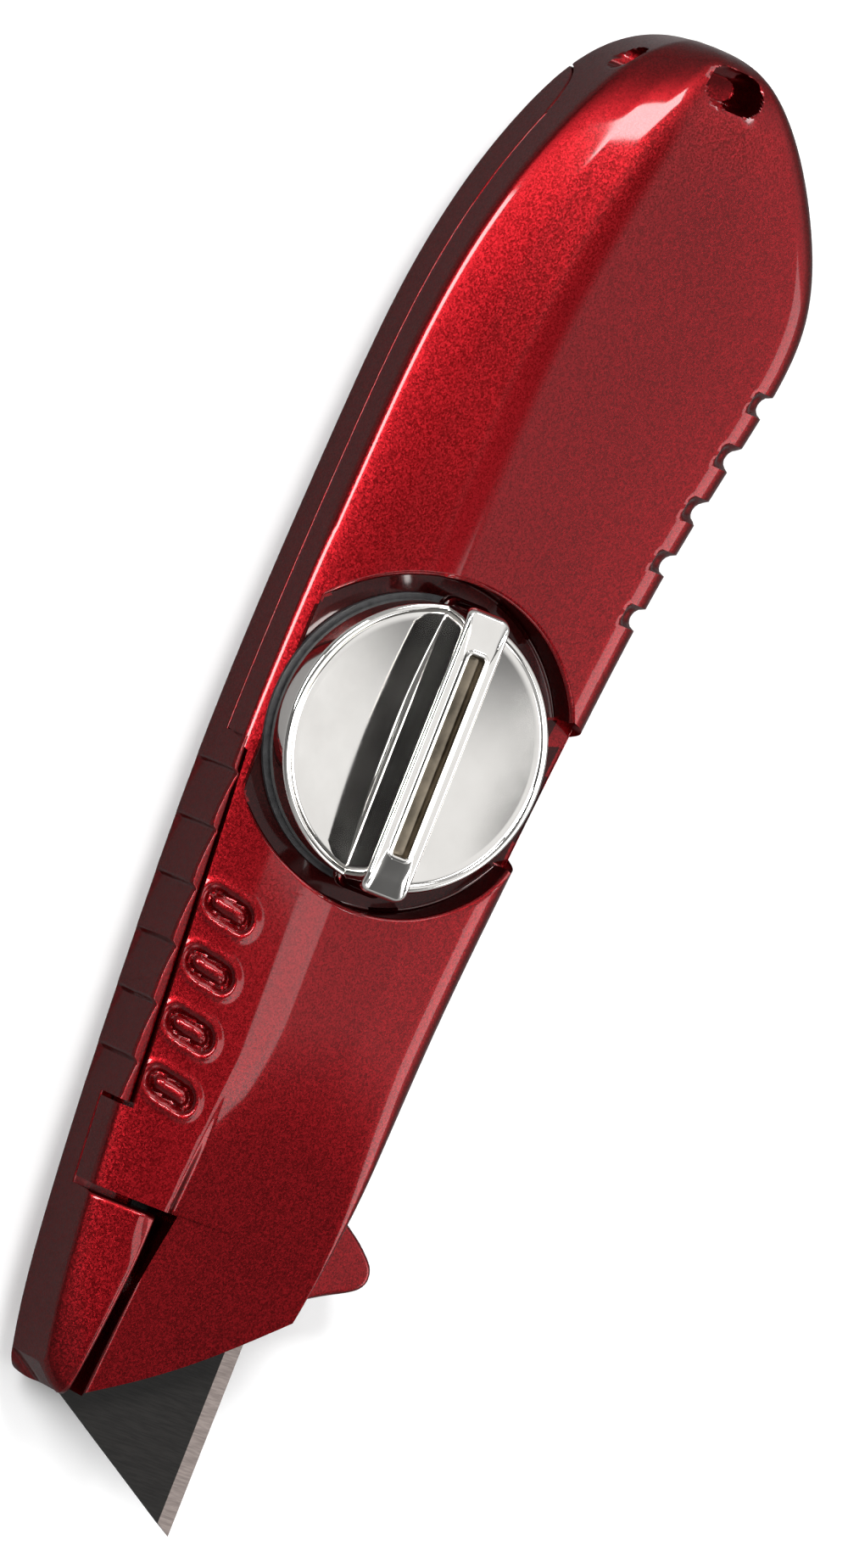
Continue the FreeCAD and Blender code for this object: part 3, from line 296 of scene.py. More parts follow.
def shade(mesh, degrees=40):
    """Corner normals: for each face corner, the area-weighted sum of the normals of the faces round
    its vertex that lie within an angle of its own face. Long slivers then hardly count."""
    corner_vertex = np.empty(len(mesh.loops), np.int32)
    mesh.loops.foreach_get("vertex_index", corner_vertex)
    size = np.empty(len(mesh.polygons), np.int32)
    mesh.polygons.foreach_get("loop_total", size)
    normal = np.empty(len(mesh.polygons) * 3)
    mesh.polygons.foreach_get("normal", normal)
    normal = normal.reshape(-1, 3)
    area = np.empty(len(mesh.polygons))
    mesh.polygons.foreach_get("area", area)
    face = np.repeat(np.arange(len(size)), size)
    order = np.argsort(corner_vertex, kind="stable")
    count = np.bincount(corner_vertex)
    first = np.concatenate([[0], np.cumsum(count)[:-1]])
    total = normal[face] * area[face, None] * 1e-3
    for turn in range(count.max()):
        corner = np.flatnonzero(count[corner_vertex] > turn)
        other = face[order[first[corner_vertex[corner]] + turn]]
        alike = np.einsum("ij,ij->i", normal[face[corner]], normal[other])
        near = alike > math.cos(math.radians(degrees))
        total[corner] += normal[other] * (area[other] * near)[:, None]
    length = np.linalg.norm(total, axis=1, keepdims=True)
    total = np.where(length > 0, total / np.maximum(length, 1e-30), normal[face])
    mesh.normals_split_custom_set(total)


# ---------------------------------------------------------------- front shell

def rows_by_length(w0, w1, spacing):
    """Places round the section, spaced by arc length, with a spacing that varies with y and height."""
    w = np.linspace(w0, w1, 1500)
    at = section(u_at(0.0), w, FRONT)
    length = np.hypot(np.diff(at[:, 0]), np.diff(at[:, 1]))
    middle = (at[1:] + at[:-1]) / 2
    density = length / spacing(middle[:, 0], middle[:, 1])
    total = np.concatenate([[0], np.cumsum(density)])
    count = int(math.ceil(total[-1])) + 1
    return np.interp(np.linspace(0, total[-1], count), total, w)


W_MID = float(w_for_y(np.array(-20.0), 0.0))
SPINE_ROWS = rows_by_length(0, W_MID, lambda y, z: np.where(y > 15.2, 0.45, np.where(y > 5, 0.32, 0.6)))
SPINE_ROWS = SPINE_ROWS / W_MID
BELLY_ROWS = rows_by_length(W_MID, W_END, lambda y, z: np.where(y > -12.5, 0.44, 0.42))
BELLY_ROWS = (BELLY_ROWS - W_MID) / (W_END - W_MID)


def front_details(x, y, z, out_y, out_z):
    """Everything cut into the front skin: nose plane, thumb ovals, finger notches, lanyard pocket."""
    lowered = nose_plane(x) + NOSE_PIECE_RISE * smooth_step((y - 5.4) / 4.0)
    z = soft_min(z, lowered, 1.1)
    depth = np.zeros_like(x)
    for index in range(4):
        along = (y - OVAL_Y + OVAL_STEP_Y * index) * 1.086
        across = x - OVAL_X + OVAL_PITCH * index - 0.22 * along
        rim = stadium(across, along, OVAL_LENGTH, OVAL_WIDTH)
        depth += OVAL_DEPTH * np.exp(-((rim + 0.62) / 0.4) ** 2)
        depth -= 0.12 * np.exp(-((rim - 0.3) / 0.35) ** 2)
    for index in range(NOTCH_COUNT):
        across = np.clip((x - NOTCH_X - NOTCH_PITCH * index) / NOTCH_HALF, -1, 1)
        reach = smooth_step((belly_line(x) + 3.4 - y) / 1.1)
        depth += NOTCH_DEPTH * np.sqrt(1 - across ** 2) * reach
    hole = np.hypot(x - HOLE_X, z - HOLE_Z)
    depth += 2.6 * smooth_step((HOLE_R - hole) / 0.45) * (y > -4.5)
    y = y - depth * out_y
    z = z - depth * out_z
    pocket = stadium(x - POCKET_X, y - POCKET_Y, POCKET_LENGTH, POCKET_WIDTH)
    floor = 12.0 + 0.35 * np.maximum(-5.4 - y, 0) + 6.5 * np.maximum(pocket + 1.2, 0)
    return x, y, soft_min(z, floor, 0.35)


def outward(u, w, net):
    """Outward direction in the cross-section, square to the run of the surface round it."""
    step = 0.02
    ahead = section(u, np.clip(w + step, 0, W_END), net)
    behind = section(u, np.clip(w - step, 0, W_END), net)
    run = ahead - behind
    length = np.maximum(np.hypot(run[..., 0], run[..., 1]), 1e-9)
    return run[..., 1] / length, -run[..., 0] / length


def front_skin(x, w):
    """Points of the detailed front skin at places (x, w)."""
    return front_skin_u(u_at(x), w)


def front_skin_u(u, w):
    """Points of the detailed front skin at parameters (u, w)."""
    u, w = np.broadcast_arrays(u, w)
    at = section(u, w, FRONT)
    x = np.interp(u, U_TABLE, X_TABLE)
    out_y, out_z = outward(u, w, FRONT)
    x, y, z = front_details(x, at[..., 0], SEAM + at[..., 1], out_y, out_z)
    return np.stack([x, y, np.maximum(z, SEAM + SEAM_GAP + EDGE)], -1)


def ring_boundary(theta, side):
    """Where the recess meets the skin, on rays at the angle theta from the spine or the belly side.

    It is the plan circle just outside the rim, or, where the skin is lower than the recess floor, the
    line on which the skin passes the floor's height.
    """
    radius = RECESS_R + RIM_ROUND
    x = radius * np.sin(theta)
    y = side * radius * np.cos(theta)
    if side > 0:
        low, high = np.zeros_like(x), np.full_like(x, W_MID)
    else:
        low, high = np.full_like(x, W_MID), np.full_like(x, float(W_END))
    w = solve(lambda v: y - section(u_at(x), v, FRONT)[..., 0], low, high)
    floor = RECESS_FLOOR + 0.12 - SEAM
    x_floor = np.array(x)
    for _ in range(4):
        w_floor = solve(lambda v: side * (section(u_at(x_floor), v, FRONT)[..., 1] - floor), low, high)
        at = section(u_at(x_floor), w_floor, FRONT)
        x_floor = np.abs(at[..., 0]) * np.tan(np.clip(theta, -1.1, 1.1))
    reach = np.abs(at[..., 0]) / np.cos(np.clip(theta, -1.1, 1.1))
    open_edge = (reach < radius) & (np.abs(theta) < 1.0)
    if side < 0:
        open_edge |= (np.abs(x) < 8.6)
    return np.where(open_edge, x_floor, x), np.where(open_edge, w_floor, w)


def seam_columns():
    """X of every column at the seam, block by block, with doubled columns at the steps."""
    nose = np.linspace(0, 1, 52)
    front = np.concatenate([np.linspace(STEP_X, TAB_FRONT - 0.5, 38),
                            np.linspace(TAB_FRONT - 0.49, -RECESS_END, 90)])
    dial = np.concatenate([np.linspace(-RECESS_END, TAB_REAR + 0.15, 48),
                           np.linspace(TAB_REAR + 0.16, RECESS_END, 80)])
    rear = np.linspace(RECESS_END, HINGE_X, 150)
    return nose, front, dial, rear


def spine_start(x):
    """Place round the section where the cover's skin begins on the spine side."""
    tab = (x > TAB_FRONT - 0.495) & (x < TAB_REAR + 0.155)
    start = np.zeros_like(x)
    if tab.any():
        start[tab] = w_for_y(x[tab], tab_line(x[tab]) - 0.15, high=W_MID)
    nose = x < STEP_X - 0.005
    if nose.any():
        start[nose] = w_for_y(x[nose], slot_line(x[nose]), high=W_MID + 2)
    return start


def inner_rows(u, net, count, roof, side):
    """Inner wall of a shell from the belly to the spine, kept under a roof height."""
    w = np.linspace(W_END, 0, count)[:, None]
    at = section(u[None, :], w, net)
    x = np.broadcast_to(np.interp(u, U_TABLE, X_TABLE)[None, :], at.shape[:2])
    z = SEAM + side * np.minimum(np.maximum(at[..., 1], 0), roof[None, :])
    return np.stack([x, at[..., 0], z], -1)


def fold(edge, inner, level, side):
    """Rows that carry a skin edge down to the seam face and in to the inner wall's first row.

    edge is the skin's edge row, inner the inner wall's edge row, and level the seam face's height.
    """
    inward = np.sign(inner[:, 1] - edge[:, 1])
    foot = np.array(edge)
    foot[:, 2] = level + side * EDGE
    low = np.array(foot)
    low[:, 2] = level
    low[:, 1] += inward * EDGE
    middle = (foot + low) / 2
    middle[:, 2] -= side * EDGE * 0.2
    middle[:, 1] -= inward * EDGE * 0.2
    drop = [edge + (foot - edge) * share for share in (0.34, 0.67, 1.0)]
    last = np.array(inner)
    last[:, 2] = level
    return np.stack([edge, *drop, middle, low, last])


def make_front_shell():
    """Cover as one closed surface: nose plate, skin, dial recess, rounded butt and inner wall."""
    nose, front, dial, rear = seam_columns()
    spine_rows = SPINE_ROWS[:, None]
    belly_rows = BELLY_ROWS[:, None]
    both = np.vstack([SPINE_ROWS[:, None] * W_MID, W_MID + belly_rows[1:] * (W_END - W_MID)])

    def plain(x):
        """Skin of a run of columns with the whole section, from the spine start to the belly seam."""
        start = spine_start(x)[None, :]
        upper = start + (W_MID - start) * spine_rows
        w = np.vstack([upper, np.broadcast_to(both[len(SPINE_ROWS):], (len(belly_rows) - 1, len(x)))])
        return front_skin(np.broadcast_to(x[None, :], w.shape), w)

    blocks = []
    front_block = plain(front)
    rear_block = plain(rear)
    # nose plate: rows keep their places at the step and spread along the slanted front edge
    step_x = np.array([STEP_X - 0.01])
    slot_w = spine_start(step_x)[0]
    plate_mid = W_MID + 1.2
    step_w = np.concatenate([slot_w + (plate_mid - slot_w) * SPINE_ROWS,
                             plate_mid + (W_END - plate_mid) * BELLY_ROWS[1:]])
    step_y = section(u_at(step_x), step_w, FRONT)[:, 0]
    share = np.clip((step_y - step_y[0]) / (step_y[-1] - step_y[0]), 0, 1)
    edge_y = 6.3 + (-13.3 - 6.3) * share
    edge_x = nose_edge(edge_y)
    wall_rows = step_w > 9.0
    edge_w = np.where(wall_rows, step_w, w_for_y(edge_x, edge_y, low=1.0, high=9.0))
    ease = nose[None, :] ** 0.8
    nose_x = edge_x[:, None] + (step_x - edge_x[:, None]) * ease
    nose_w = edge_w[:, None] + (step_w[:, None] - edge_w[:, None]) * ease
    nose_block = front_skin(nose_x, nose_w)

    theta = (dial - dial[0]) / (dial[-1] - dial[0]) * math.pi - math.pi / 2
    ring = {}
    dial_blocks = {}
    for side in (1, -1):
        ring_x, ring_w = ring_boundary(theta, side)
        if side > 0:
            share = spine_rows
            seam_w = spine_start(dial)[None, :]
            w = seam_w + (ring_w[None, :] - seam_w) * share
            x = dial[None, :] + (ring_x - dial)[None, :] * share
        else:
            share = belly_rows
            w = ring_w[None, :] + (W_END - ring_w[None, :]) * share
            x = ring_x[None, :] + (dial - ring_x)[None, :] * share
        block = front_skin(x, w)
        dial_blocks[side] = block
        ring[side] = block[-1] if side > 0 else block[0]

    rim = np.vstack([ring[1], ring[-1][::-1][1:-1]])
    blocks.append((recess_rows(rim), True))

    cap_outer, cap_inner = cap_rows(both)
    outer = [nose_block, front_block]
    seam_u = np.concatenate([u_at(front), u_at(dial), u_at(rear)])
    seam_x = np.interp(seam_u, U_TABLE, X_TABLE)
    roof = np.where(np.abs(seam_x) < RECESS_WALL_X, RECESS_ROOF - SEAM, STORE_ROOF - SEAM)
    roof = np.where((seam_x < COVER_SOLID_FRONT) | (seam_x > SOLID_REAR), SEAM_GAP, roof)
    inside = inner_rows(seam_u, FRONT_INSIDE, 18, roof, 1)
    inside[..., 2] = np.maximum(inside[..., 2], SEAM + SEAM_GAP)
    level = SEAM + SEAM_GAP
    spine_edge = np.vstack([front_block[0], dial_blocks[1][0], rear_block[0]])
    belly_edge = np.vstack([front_block[-1], dial_blocks[-1][-1], rear_block[-1]])
    belly_fold = fold(belly_edge, inside[0], level, 1)
    spine_fold = fold(spine_edge, inside[-1], level, 1)
    loop_inner = np.concatenate([belly_fold, inside[1:-1], spine_fold[::-1]])
    # underside of the nose plate
    plate_spine, plate_belly = nose_block[0], nose_block[-1]
    across = np.linspace(0, 1, 18)[:, None, None]
    under = plate_belly[None] + (plate_spine - plate_belly)[None] * across
    under[..., 2] = level
    under[0, :, 1] += 1.2
    under[-1, :, 1] -= 0.6
    nose_inner = np.concatenate([fold(plate_belly, under[0], level, 1), under[1:-1],
                                 fold(plate_spine, under[-1], level, 1)[::-1]])
    loop_inner = np.hstack([nose_inner, loop_inner])
    outer += [dial_blocks[1], dial_blocks[-1], rear_block, loop_inner]
    blocks += [(block, False) for block in outer]
    blocks += [(np.hstack([nose_block[:, -1:], front_block[:, :1]]), False)]
    blocks += [(cap_outer, False), (cap_inner, False)]
    return mesh_from("front_shell_skin", blocks)


def nose_edge(y):
    """Slanted front edge of the nose in plan: a slightly bowed line from the slot to the belly corner."""
    share = (6.4 - y) / 19.8
    return -76.5 + 15.0 * share - 1.1 * np.sin(math.pi * np.clip(share, 0, 1))


def recess_rows(rim):
    """Rows of the recess from its rim inwards: rounded rim, wall, rounded foot and floor."""
    radius = np.hypot(rim[:, 0], rim[:, 1])
    direction = rim[:, :2] / radius[:, None]
    rows = [rim]
    depth = np.maximum(rim[:, 2] - RECESS_FLOOR, 0.0)
    round_off = np.minimum(RIM_ROUND, depth * 0.9)
    for angle in np.radians((25, 50, 72, 90)):
        r = radius - round_off * math.sin(angle)
        z = rim[:, 2] - round_off * (1 - math.cos(angle))
        rows.append(np.column_stack([direction * r[:, None], z]))
    wall = rows[-1]
    foot_r = radius - round_off
    for share in (0.35, 0.7, 0.93):
        row = np.array(wall)
        row[:, 2] = wall[:, 2] + (RECESS_FLOOR - wall[:, 2]) * share
        rows.append(row)
    for inset in (0.35, 2.0, 6.0, 11.0, 16.0):
        r = np.maximum(foot_r - inset * np.where(inset > 1, foot_r / 18.0, 1), 0.5)
        rows.append(np.column_stack([direction * r[:, None], np.full(len(r), RECESS_FLOOR)]))
    centre = np.array(rows[-1])
    centre[:, :2] = 0
    rows.append(centre)
    return np.stack(rows)


def back_surface(u, w):
    """Points of the back half's skin, ground flat on the resting plane."""
    at = section(u, w, BACK)
    x = np.broadcast_to(np.interp(u, U_TABLE, X_TABLE), at.shape[:-1])
    z = np.maximum(SEAM - at[..., 1], 0)
    return np.stack([x, at[..., 0], z], -1)


def cap_rows(both):
    """Butt of the cover: the front skin runs on round the spine and the belly onto the back.

    Up to the end of the back shell its lower edge is an arc about the hinge; behind it closes.
    """
    clear = KNUCKLE_R + HINGE_GAP
    near = np.linspace(HINGE_X, HINGE_X + clear - 0.02, 48)
    u_near = u_at(near)
    u_far = np.linspace(u_at(HINGE_X + clear), U_END, 66)
    u = np.concatenate([u_near, u_far])
    count = 16
    edge_z = HINGE_Z + np.sqrt(np.maximum(clear ** 2 - (near - HINGE_X) ** 2, 0))
    edge_z = np.minimum(edge_z, SEAM)
    share = np.linspace(0, 1, count)[:, None]
    # spine side below the seam, from the lower edge up
    w_spine = solve(lambda v: section(u_near, v, BACK)[..., 1] - (SEAM - edge_z),
                    np.zeros_like(u_near), np.full_like(u_near, 4.0))
    w_belly = solve(lambda v: (SEAM - edge_z) - section(u_near, v, BACK)[..., 1],
                    np.full_like(u_near, 6.5), np.full_like(u_near, float(W_END)))
    closed = 6.0
    w_spine = np.concatenate([w_spine, np.full(len(u_far), closed)])
    w_belly = np.concatenate([w_belly, np.full(len(u_far), closed)])
    lower_spine = back_surface(u[None, :], w_spine[None, :] * (1 - share))
    lower_belly = back_surface(u[None, :], W_END + (w_belly[None, :] - W_END) * share)
    at = section(u[None, :], both, FRONT)
    x = np.broadcast_to(np.interp(u, U_TABLE, X_TABLE)[None, :], at.shape[:2])
    out_y, out_z = outward(u[None, :], both, FRONT)
    x, y, z = front_details(x, at[..., 0], SEAM + at[..., 1], out_y, out_z)
    upper = np.stack([x, y, z], -1)
    outer = np.concatenate([lower_spine, upper[1:-1], lower_belly])
    edge_a, edge_b = lower_spine[0], lower_belly[-1]
    across = np.linspace(0, 1, 14)[:, None, None]
    inner = edge_b[None] + (edge_a - edge_b)[None] * across
    return outer, inner


# ---------------------------------------------------------------- back shell

STRIP_X = -55.8
TAB_TOP = 14.6
TOOTH_FIRST = -8.8
TOOTH_PITCH = 6.42
TOOTH_DEPTH = 0.75
UPPER_COUNT = 21
CROWN_COUNT = 13
NOSE_END_X = -76.6
NOSE_SPLIT_Y = 6.3
BED_DROP = 0.33


def strip_line(x):
    """Inner edge of the nose piece in plan, a straight line."""
    return 7.0 + 2.4 * (STRIP_X - x) / 34.2


def strip_front(y):
    """Front end of the nose piece in plan: straight, then an arc of 3 mm round to the spine."""
    c = np.clip((y - 8.0) / 3.0, 0, 1)
    return NOSE_TIP_X + 3.0 * (1 - np.sqrt(1 - c * c))


def tooth_sink(x, z):
    """Saw-tooth of the thumb grip: a quick drop at each step, then a hollow ramp, (1 - s)^1.7, back up."""
    run = (TOOTH_FIRST - x) / TOOTH_PITCH
    share = run - np.floor(run)
    depth = TOOTH_DEPTH * np.maximum(1 - share / 0.95, 0) ** 1.7 * smooth_step(share * TOOTH_PITCH / 0.7)
    inside = (x < TOOTH_FIRST) & (x > TAB_FRONT) & (run >= 0)
    return depth * inside * smooth_step((z - 5.3) / 0.9)


def notch_sink(x, y):
    """Finger grooves along the belly: a row of half-round channels, faded out above the floor."""
    depth = np.zeros_like(x)
    for index in range(NOTCH_COUNT):
        across = np.clip((x - NOTCH_X - NOTCH_PITCH * index) / NOTCH_HALF, -1, 1)
        depth += NOTCH_DEPTH * np.sqrt(1 - across ** 2) * smooth_step((belly_line(x) + 3.0 - y) / 0.8)
    return depth


def nose_under(x, y, z):
    """The underside of the nose slopes up to the front, as the plate above slopes down.

    Under the nose piece it stays full, and only its last few millimetres curve up to the slope.
    """
    full = smooth_step((y - 6.3) / 1.9) * np.sqrt(np.clip((x + 77.25) / 4.5, 0, 1))
    lifted = 20.0 - nose_plane(x) - NOSE_PIECE_RISE * full
    return -soft_min(-z, -lifted, 0.5)


def back_skin(u, w):
    """Detailed points of the back half: teeth, finger grooves, sloped nose and flat resting face."""
    u, w = np.broadcast_arrays(u, w)
    at = section(u, w, BACK)
    x = np.interp(u, U_TABLE, X_TABLE)
    out_y, out_z = outward(u, w, BACK)
    y, height = at[..., 0], at[..., 1]
    depth = notch_sink(x, y)
    tooth = tooth_sink(x, SEAM - height) * (w < 3)
    y = y - depth * out_y - tooth
    z = SEAM - height + depth * out_z
    return np.stack([x, y, np.maximum(nose_under(x, y, z), 0)], -1)


def front_points(x, w):
    """Plain points of the front half's surface, used where the back shell rises above the seam."""
    x, w = np.broadcast_arrays(x, w)
    at = section(u_at(x), w, FRONT)
    return np.stack([x, at[..., 0] - tooth_sink(x, SEAM + at[..., 1]), SEAM + at[..., 1]], -1)


def arc_rows(start, corner, end, count):
    """Rows round a corner by the quadratic curve (1-t)^2 start + 2t(1-t) corner + t^2 end."""
    t = np.linspace(0, 1, count + 1)[1:, None, None]
    return (1 - t) ** 2 * start + 2 * t * (1 - t) * corner + t ** 2 * end


def tab_rows(x):
    """Upper rows of the thumb tab: up the spine side, over a narrow flat top, down its inner face."""
    top_w = solve(lambda w: section(u_at(x), w, FRONT)[..., 1] - (TAB_TOP - SEAM - 0.25),
                  np.zeros_like(x), np.full_like(x, 3.0))
    skin = front_points(x[None, :], top_w[None, :] * np.linspace(0, 1, 9)[:, None])
    outer = skin[-1]
    inner_y = np.minimum(tab_line(x), outer[:, 1] - 0.45)
    level = np.full_like(x, TAB_TOP)
    corner = np.stack([x, outer[:, 1], level], -1)
    start = np.stack([x, outer[:, 1] - 0.2, level], -1)
    stop = np.stack([x, inner_y + 0.2, level], -1)
    turn = np.stack([x, inner_y, level], -1)
    down = np.stack([x, inner_y, level - 0.22], -1)
    foot = np.stack([x, inner_y, level * 0 + SEAM], -1)
    falls = [down + (foot - down) * share for share in (0.3, 0.6, 1.0)]
    rows = [*skin, *arc_rows(outer, corner, start, 3), (start + stop) / 2, stop,
            *arc_rows(stop, turn, down, 3), *falls]
    return np.stack(rows + [foot] * (UPPER_COUNT - len(rows)))


def strip_rows(x):
    """Upper rows of the nose piece: up the spine side, over its crown, down into the slot.

    x holds a row of places along the handle for each row up to the crown; later rows keep the last.
    """
    last = x[-1]
    inner_w = w_for_y(x, strip_line(x) + 0.7, high=W_MID + 2)
    skin = front_points(x, inner_w * np.linspace(0, 1, CROWN_COUNT)[:, None])
    limit = nose_plane(x) - 0.3 + NOSE_PIECE_RISE * smooth_step((skin[..., 1] - 7.4) / 1.8)
    skin[..., 2] = soft_min(skin[..., 2], limit, 0.8)
    outer = skin[-1]
    inner_y = strip_line(last)
    turn = np.stack([last, inner_y, outer[:, 2] + 0.05], -1)
    down = np.stack([last, inner_y, outer[:, 2] - 0.7], -1)
    foot = np.stack([last, inner_y, 0 * last + SEAM], -1)
    falls = [down + (foot - down) * share for share in (0.4, 1.0)]
    rows = [*skin, *arc_rows(outer, turn, down, 5), *falls]
    return np.stack(rows + [foot] * (UPPER_COUNT - len(rows)))


def edge_rows(edge, level):
    """Rows over a plain seam edge: a small quarter round up to a level, then held at its top."""
    top = np.array(edge)
    top[:, 2] = level
    top[:, 1] -= EDGE
    corner = np.array(edge)
    corner[:, 2] = level
    rows = list(arc_rows(edge, corner, top, 4))
    return np.stack(rows + [top] * (UPPER_COUNT - len(rows)))


def make_back_shell():
    """Back half with its nose piece and thumb tab: closed loops of points, column by column."""
    edge_w = float(solve(lambda w: section(u_at(np.array(0.0)), w, BACK)[..., 1] - EDGE, 0.0, 2.0))
    lower = np.concatenate([np.linspace(edge_w, 3.2, 18), np.linspace(3.2, 7.2, 26)[1:],
                            np.linspace(7.2, W_END - edge_w, 34)[1:]])
    knuckle_end = HINGE_X + KNUCKLE_R - 0.03
    turn = np.sin(np.linspace(0.03, 1, 24) * np.pi / 2)
    runs = [np.linspace(STRIP_X + 0.01, TAB_FRONT - 0.01, 24), np.linspace(TAB_FRONT, TAB_REAR, 190),
            np.linspace(TAB_REAR + 0.01, 18.7, 40), np.linspace(19.0, 50.0, 110),
            np.linspace(50.5, HINGE_X, 30), HINGE_X + (knuckle_end - HINGE_X) * turn]
    x = np.concatenate(runs)
    reach = np.maximum(x - HINGE_X, 0)
    rim_z = np.where(x > HINGE_X, HINGE_Z + np.sqrt(np.maximum(KNUCKLE_R ** 2 - reach ** 2, 0)), SEAM)
    rim_z = np.minimum(rim_z, SEAM)
    drop = SEAM - rim_z
    u = u_at(x)
    start_w = solve(lambda w: section(u, w, BACK)[..., 1] - drop - EDGE,
                    np.zeros_like(u), np.full_like(u, 4.0))
    stop_w = solve(lambda w: drop + EDGE - section(u, w, BACK)[..., 1],
                   np.full_like(u, 7.0), np.full_like(u, float(W_END)))
    share = (lower - lower[0]) / (lower[-1] - lower[0])
    skin = back_skin(u[None, :], start_w[None, :] + (stop_w - start_w)[None, :] * share[:, None])
    under = HINGE_Z - np.sqrt(np.maximum(KNUCKLE_R ** 2 - reach ** 2, 0))
    skin[..., 2] = np.where(x[None, :] > HINGE_X, np.maximum(skin[..., 2], under[None, :]), skin[..., 2])
    upper = edge_rows(skin[0], rim_z)
    on_tab = (x >= TAB_FRONT - 1e-6) & (x <= TAB_REAR + 1e-6)
    upper[:, on_tab] = tab_rows(x[on_tab])
    belly = edge_rows(skin[-1], rim_z)[:6]
    belly[..., 1] += 2 * (skin[-1][None, :, 1] - belly[..., 1])
    solid = (x < HANDLE_SOLID_FRONT) | (x > SOLID_REAR)
    inside = inner_rows(u, BACK_INSIDE, 20, np.where(solid, 0.0, 8.0), -1)
    across = np.linspace(0, 1, 20)[:, None]
    flat_y = belly[-1, :, 1][None] + 1.2 + (upper[-1, :, 1] - belly[-1, :, 1] - 2.4)[None] * across
    inside[..., 1] = np.where(solid[None, :], flat_y, inside[..., 1])
    bed_z = rim_z - BED_DROP * (x < HANDLE_SOLID_FRONT)
    inside[..., 2] = np.where(solid[None, :], bed_z[None, :], inside[..., 2])
    inside[0, :, 2] = np.where(solid, rim_z, inside[0, :, 2])
    inside[-1, :, 2] = np.where(solid, rim_z, inside[-1, :, 2])
    loop = np.concatenate([upper[::-1], skin, belly, inside])

    # nose: the same loop, spread along each row to the slanted front edge
    along = smooth_step(np.linspace(0.0, 1.0, 72)) * 0.6 + np.linspace(0, 1, 72) * 0.4
    base_y = section(u_at(np.array([STRIP_X])), lower, BACK)[:, 0]
    front_y = section(u_at(np.array([NOSE_END_X])), lower, BACK)[:, 0]
    share_y = np.clip((NOSE_SPLIT_Y - base_y) / (NOSE_SPLIT_Y - base_y[-1]), 0, 1)
    plan_y = NOSE_SPLIT_Y - 19.6 * share_y
    front_x = np.where(front_y > NOSE_SPLIT_Y, strip_front(front_y), nose_edge(plan_y))
    low_x = front_x[:, None] + (STRIP_X - front_x)[:, None] * along[None, :]
    nose_skin = back_skin(u_at(low_x), np.broadcast_to(lower[:, None], low_x.shape))
    end = np.full((CROWN_COUNT, 1), NOSE_END_X)
    end_w = w_for_y(end, strip_line(end) + 0.7, high=W_MID + 2)
    end_y = front_points(end, end_w * np.linspace(0, 1, CROWN_COUNT)[:, None])[..., 1]
    strip_end = strip_front(end_y)
    nose_upper = strip_rows(strip_end + (STRIP_X - strip_end) * along[None, :])
    ends = np.concatenate([strip_end, np.repeat(strip_end[-1:], UPPER_COUNT - CROWN_COUNT, 0)])
    for near, radius in ((nose_upper[..., 0] - ends, 1.3), (STRIP_X - nose_upper[..., 0], 0.6)):
        sink = radius - np.sqrt(np.maximum(radius ** 2 - np.maximum(radius - near, 0) ** 2, 0))
        nose_upper[..., 2] -= sink * smooth_step((nose_upper[..., 2] - 11.0) / 2.0)
    nose_belly = edge_rows(nose_skin[-1], SEAM)[:6]
    nose_belly[..., 1] += 2 * (nose_skin[-1][None, :, 1] - nose_belly[..., 1])
    bed = nose_belly[-1][None] + (nose_upper[-1] - nose_belly[-1])[None] * across[:, :, None]
    bed[1:-1, :, 2] = SEAM - BED_DROP
    bed[0, :, 1] += 0.4
    bed[0, :, 2] = SEAM
    bed[-1, :, 2] = SEAM - BED_DROP
    nose_loop = np.concatenate([nose_upper[::-1], nose_skin, nose_belly, bed])
    joint = np.hstack([nose_loop[:, -1:], loop[:, :1]])
    columns = np.hstack([nose_loop, joint, loop])
    closed = np.concatenate([columns, columns[:1]])
    return mesh_from("back_shell_skin", [(closed, False)])


def smooth_curve(points, count):
    """Catmull-Rom curve through points: a cubic on each span, evaluated as whole arrays."""
    points = np.asarray(points, float)
    padded = np.vstack([2 * points[0] - points[1], points, 2 * points[-1] - points[-2]])
    t = np.linspace(0, len(points) - 1 - 1e-9, count)
    i = t.astype(int)
    s = (t - i)[:, None]
    a, b, c, d = padded[i], padded[i + 1], padded[i + 2], padded[i + 3]
    square = 2 * a - 5 * b + 4 * c - d
    cube = 3 * b - a - 3 * c + d
    return 0.5 * (2 * b + (c - a) * s + square * s ** 2 + cube * s ** 3)


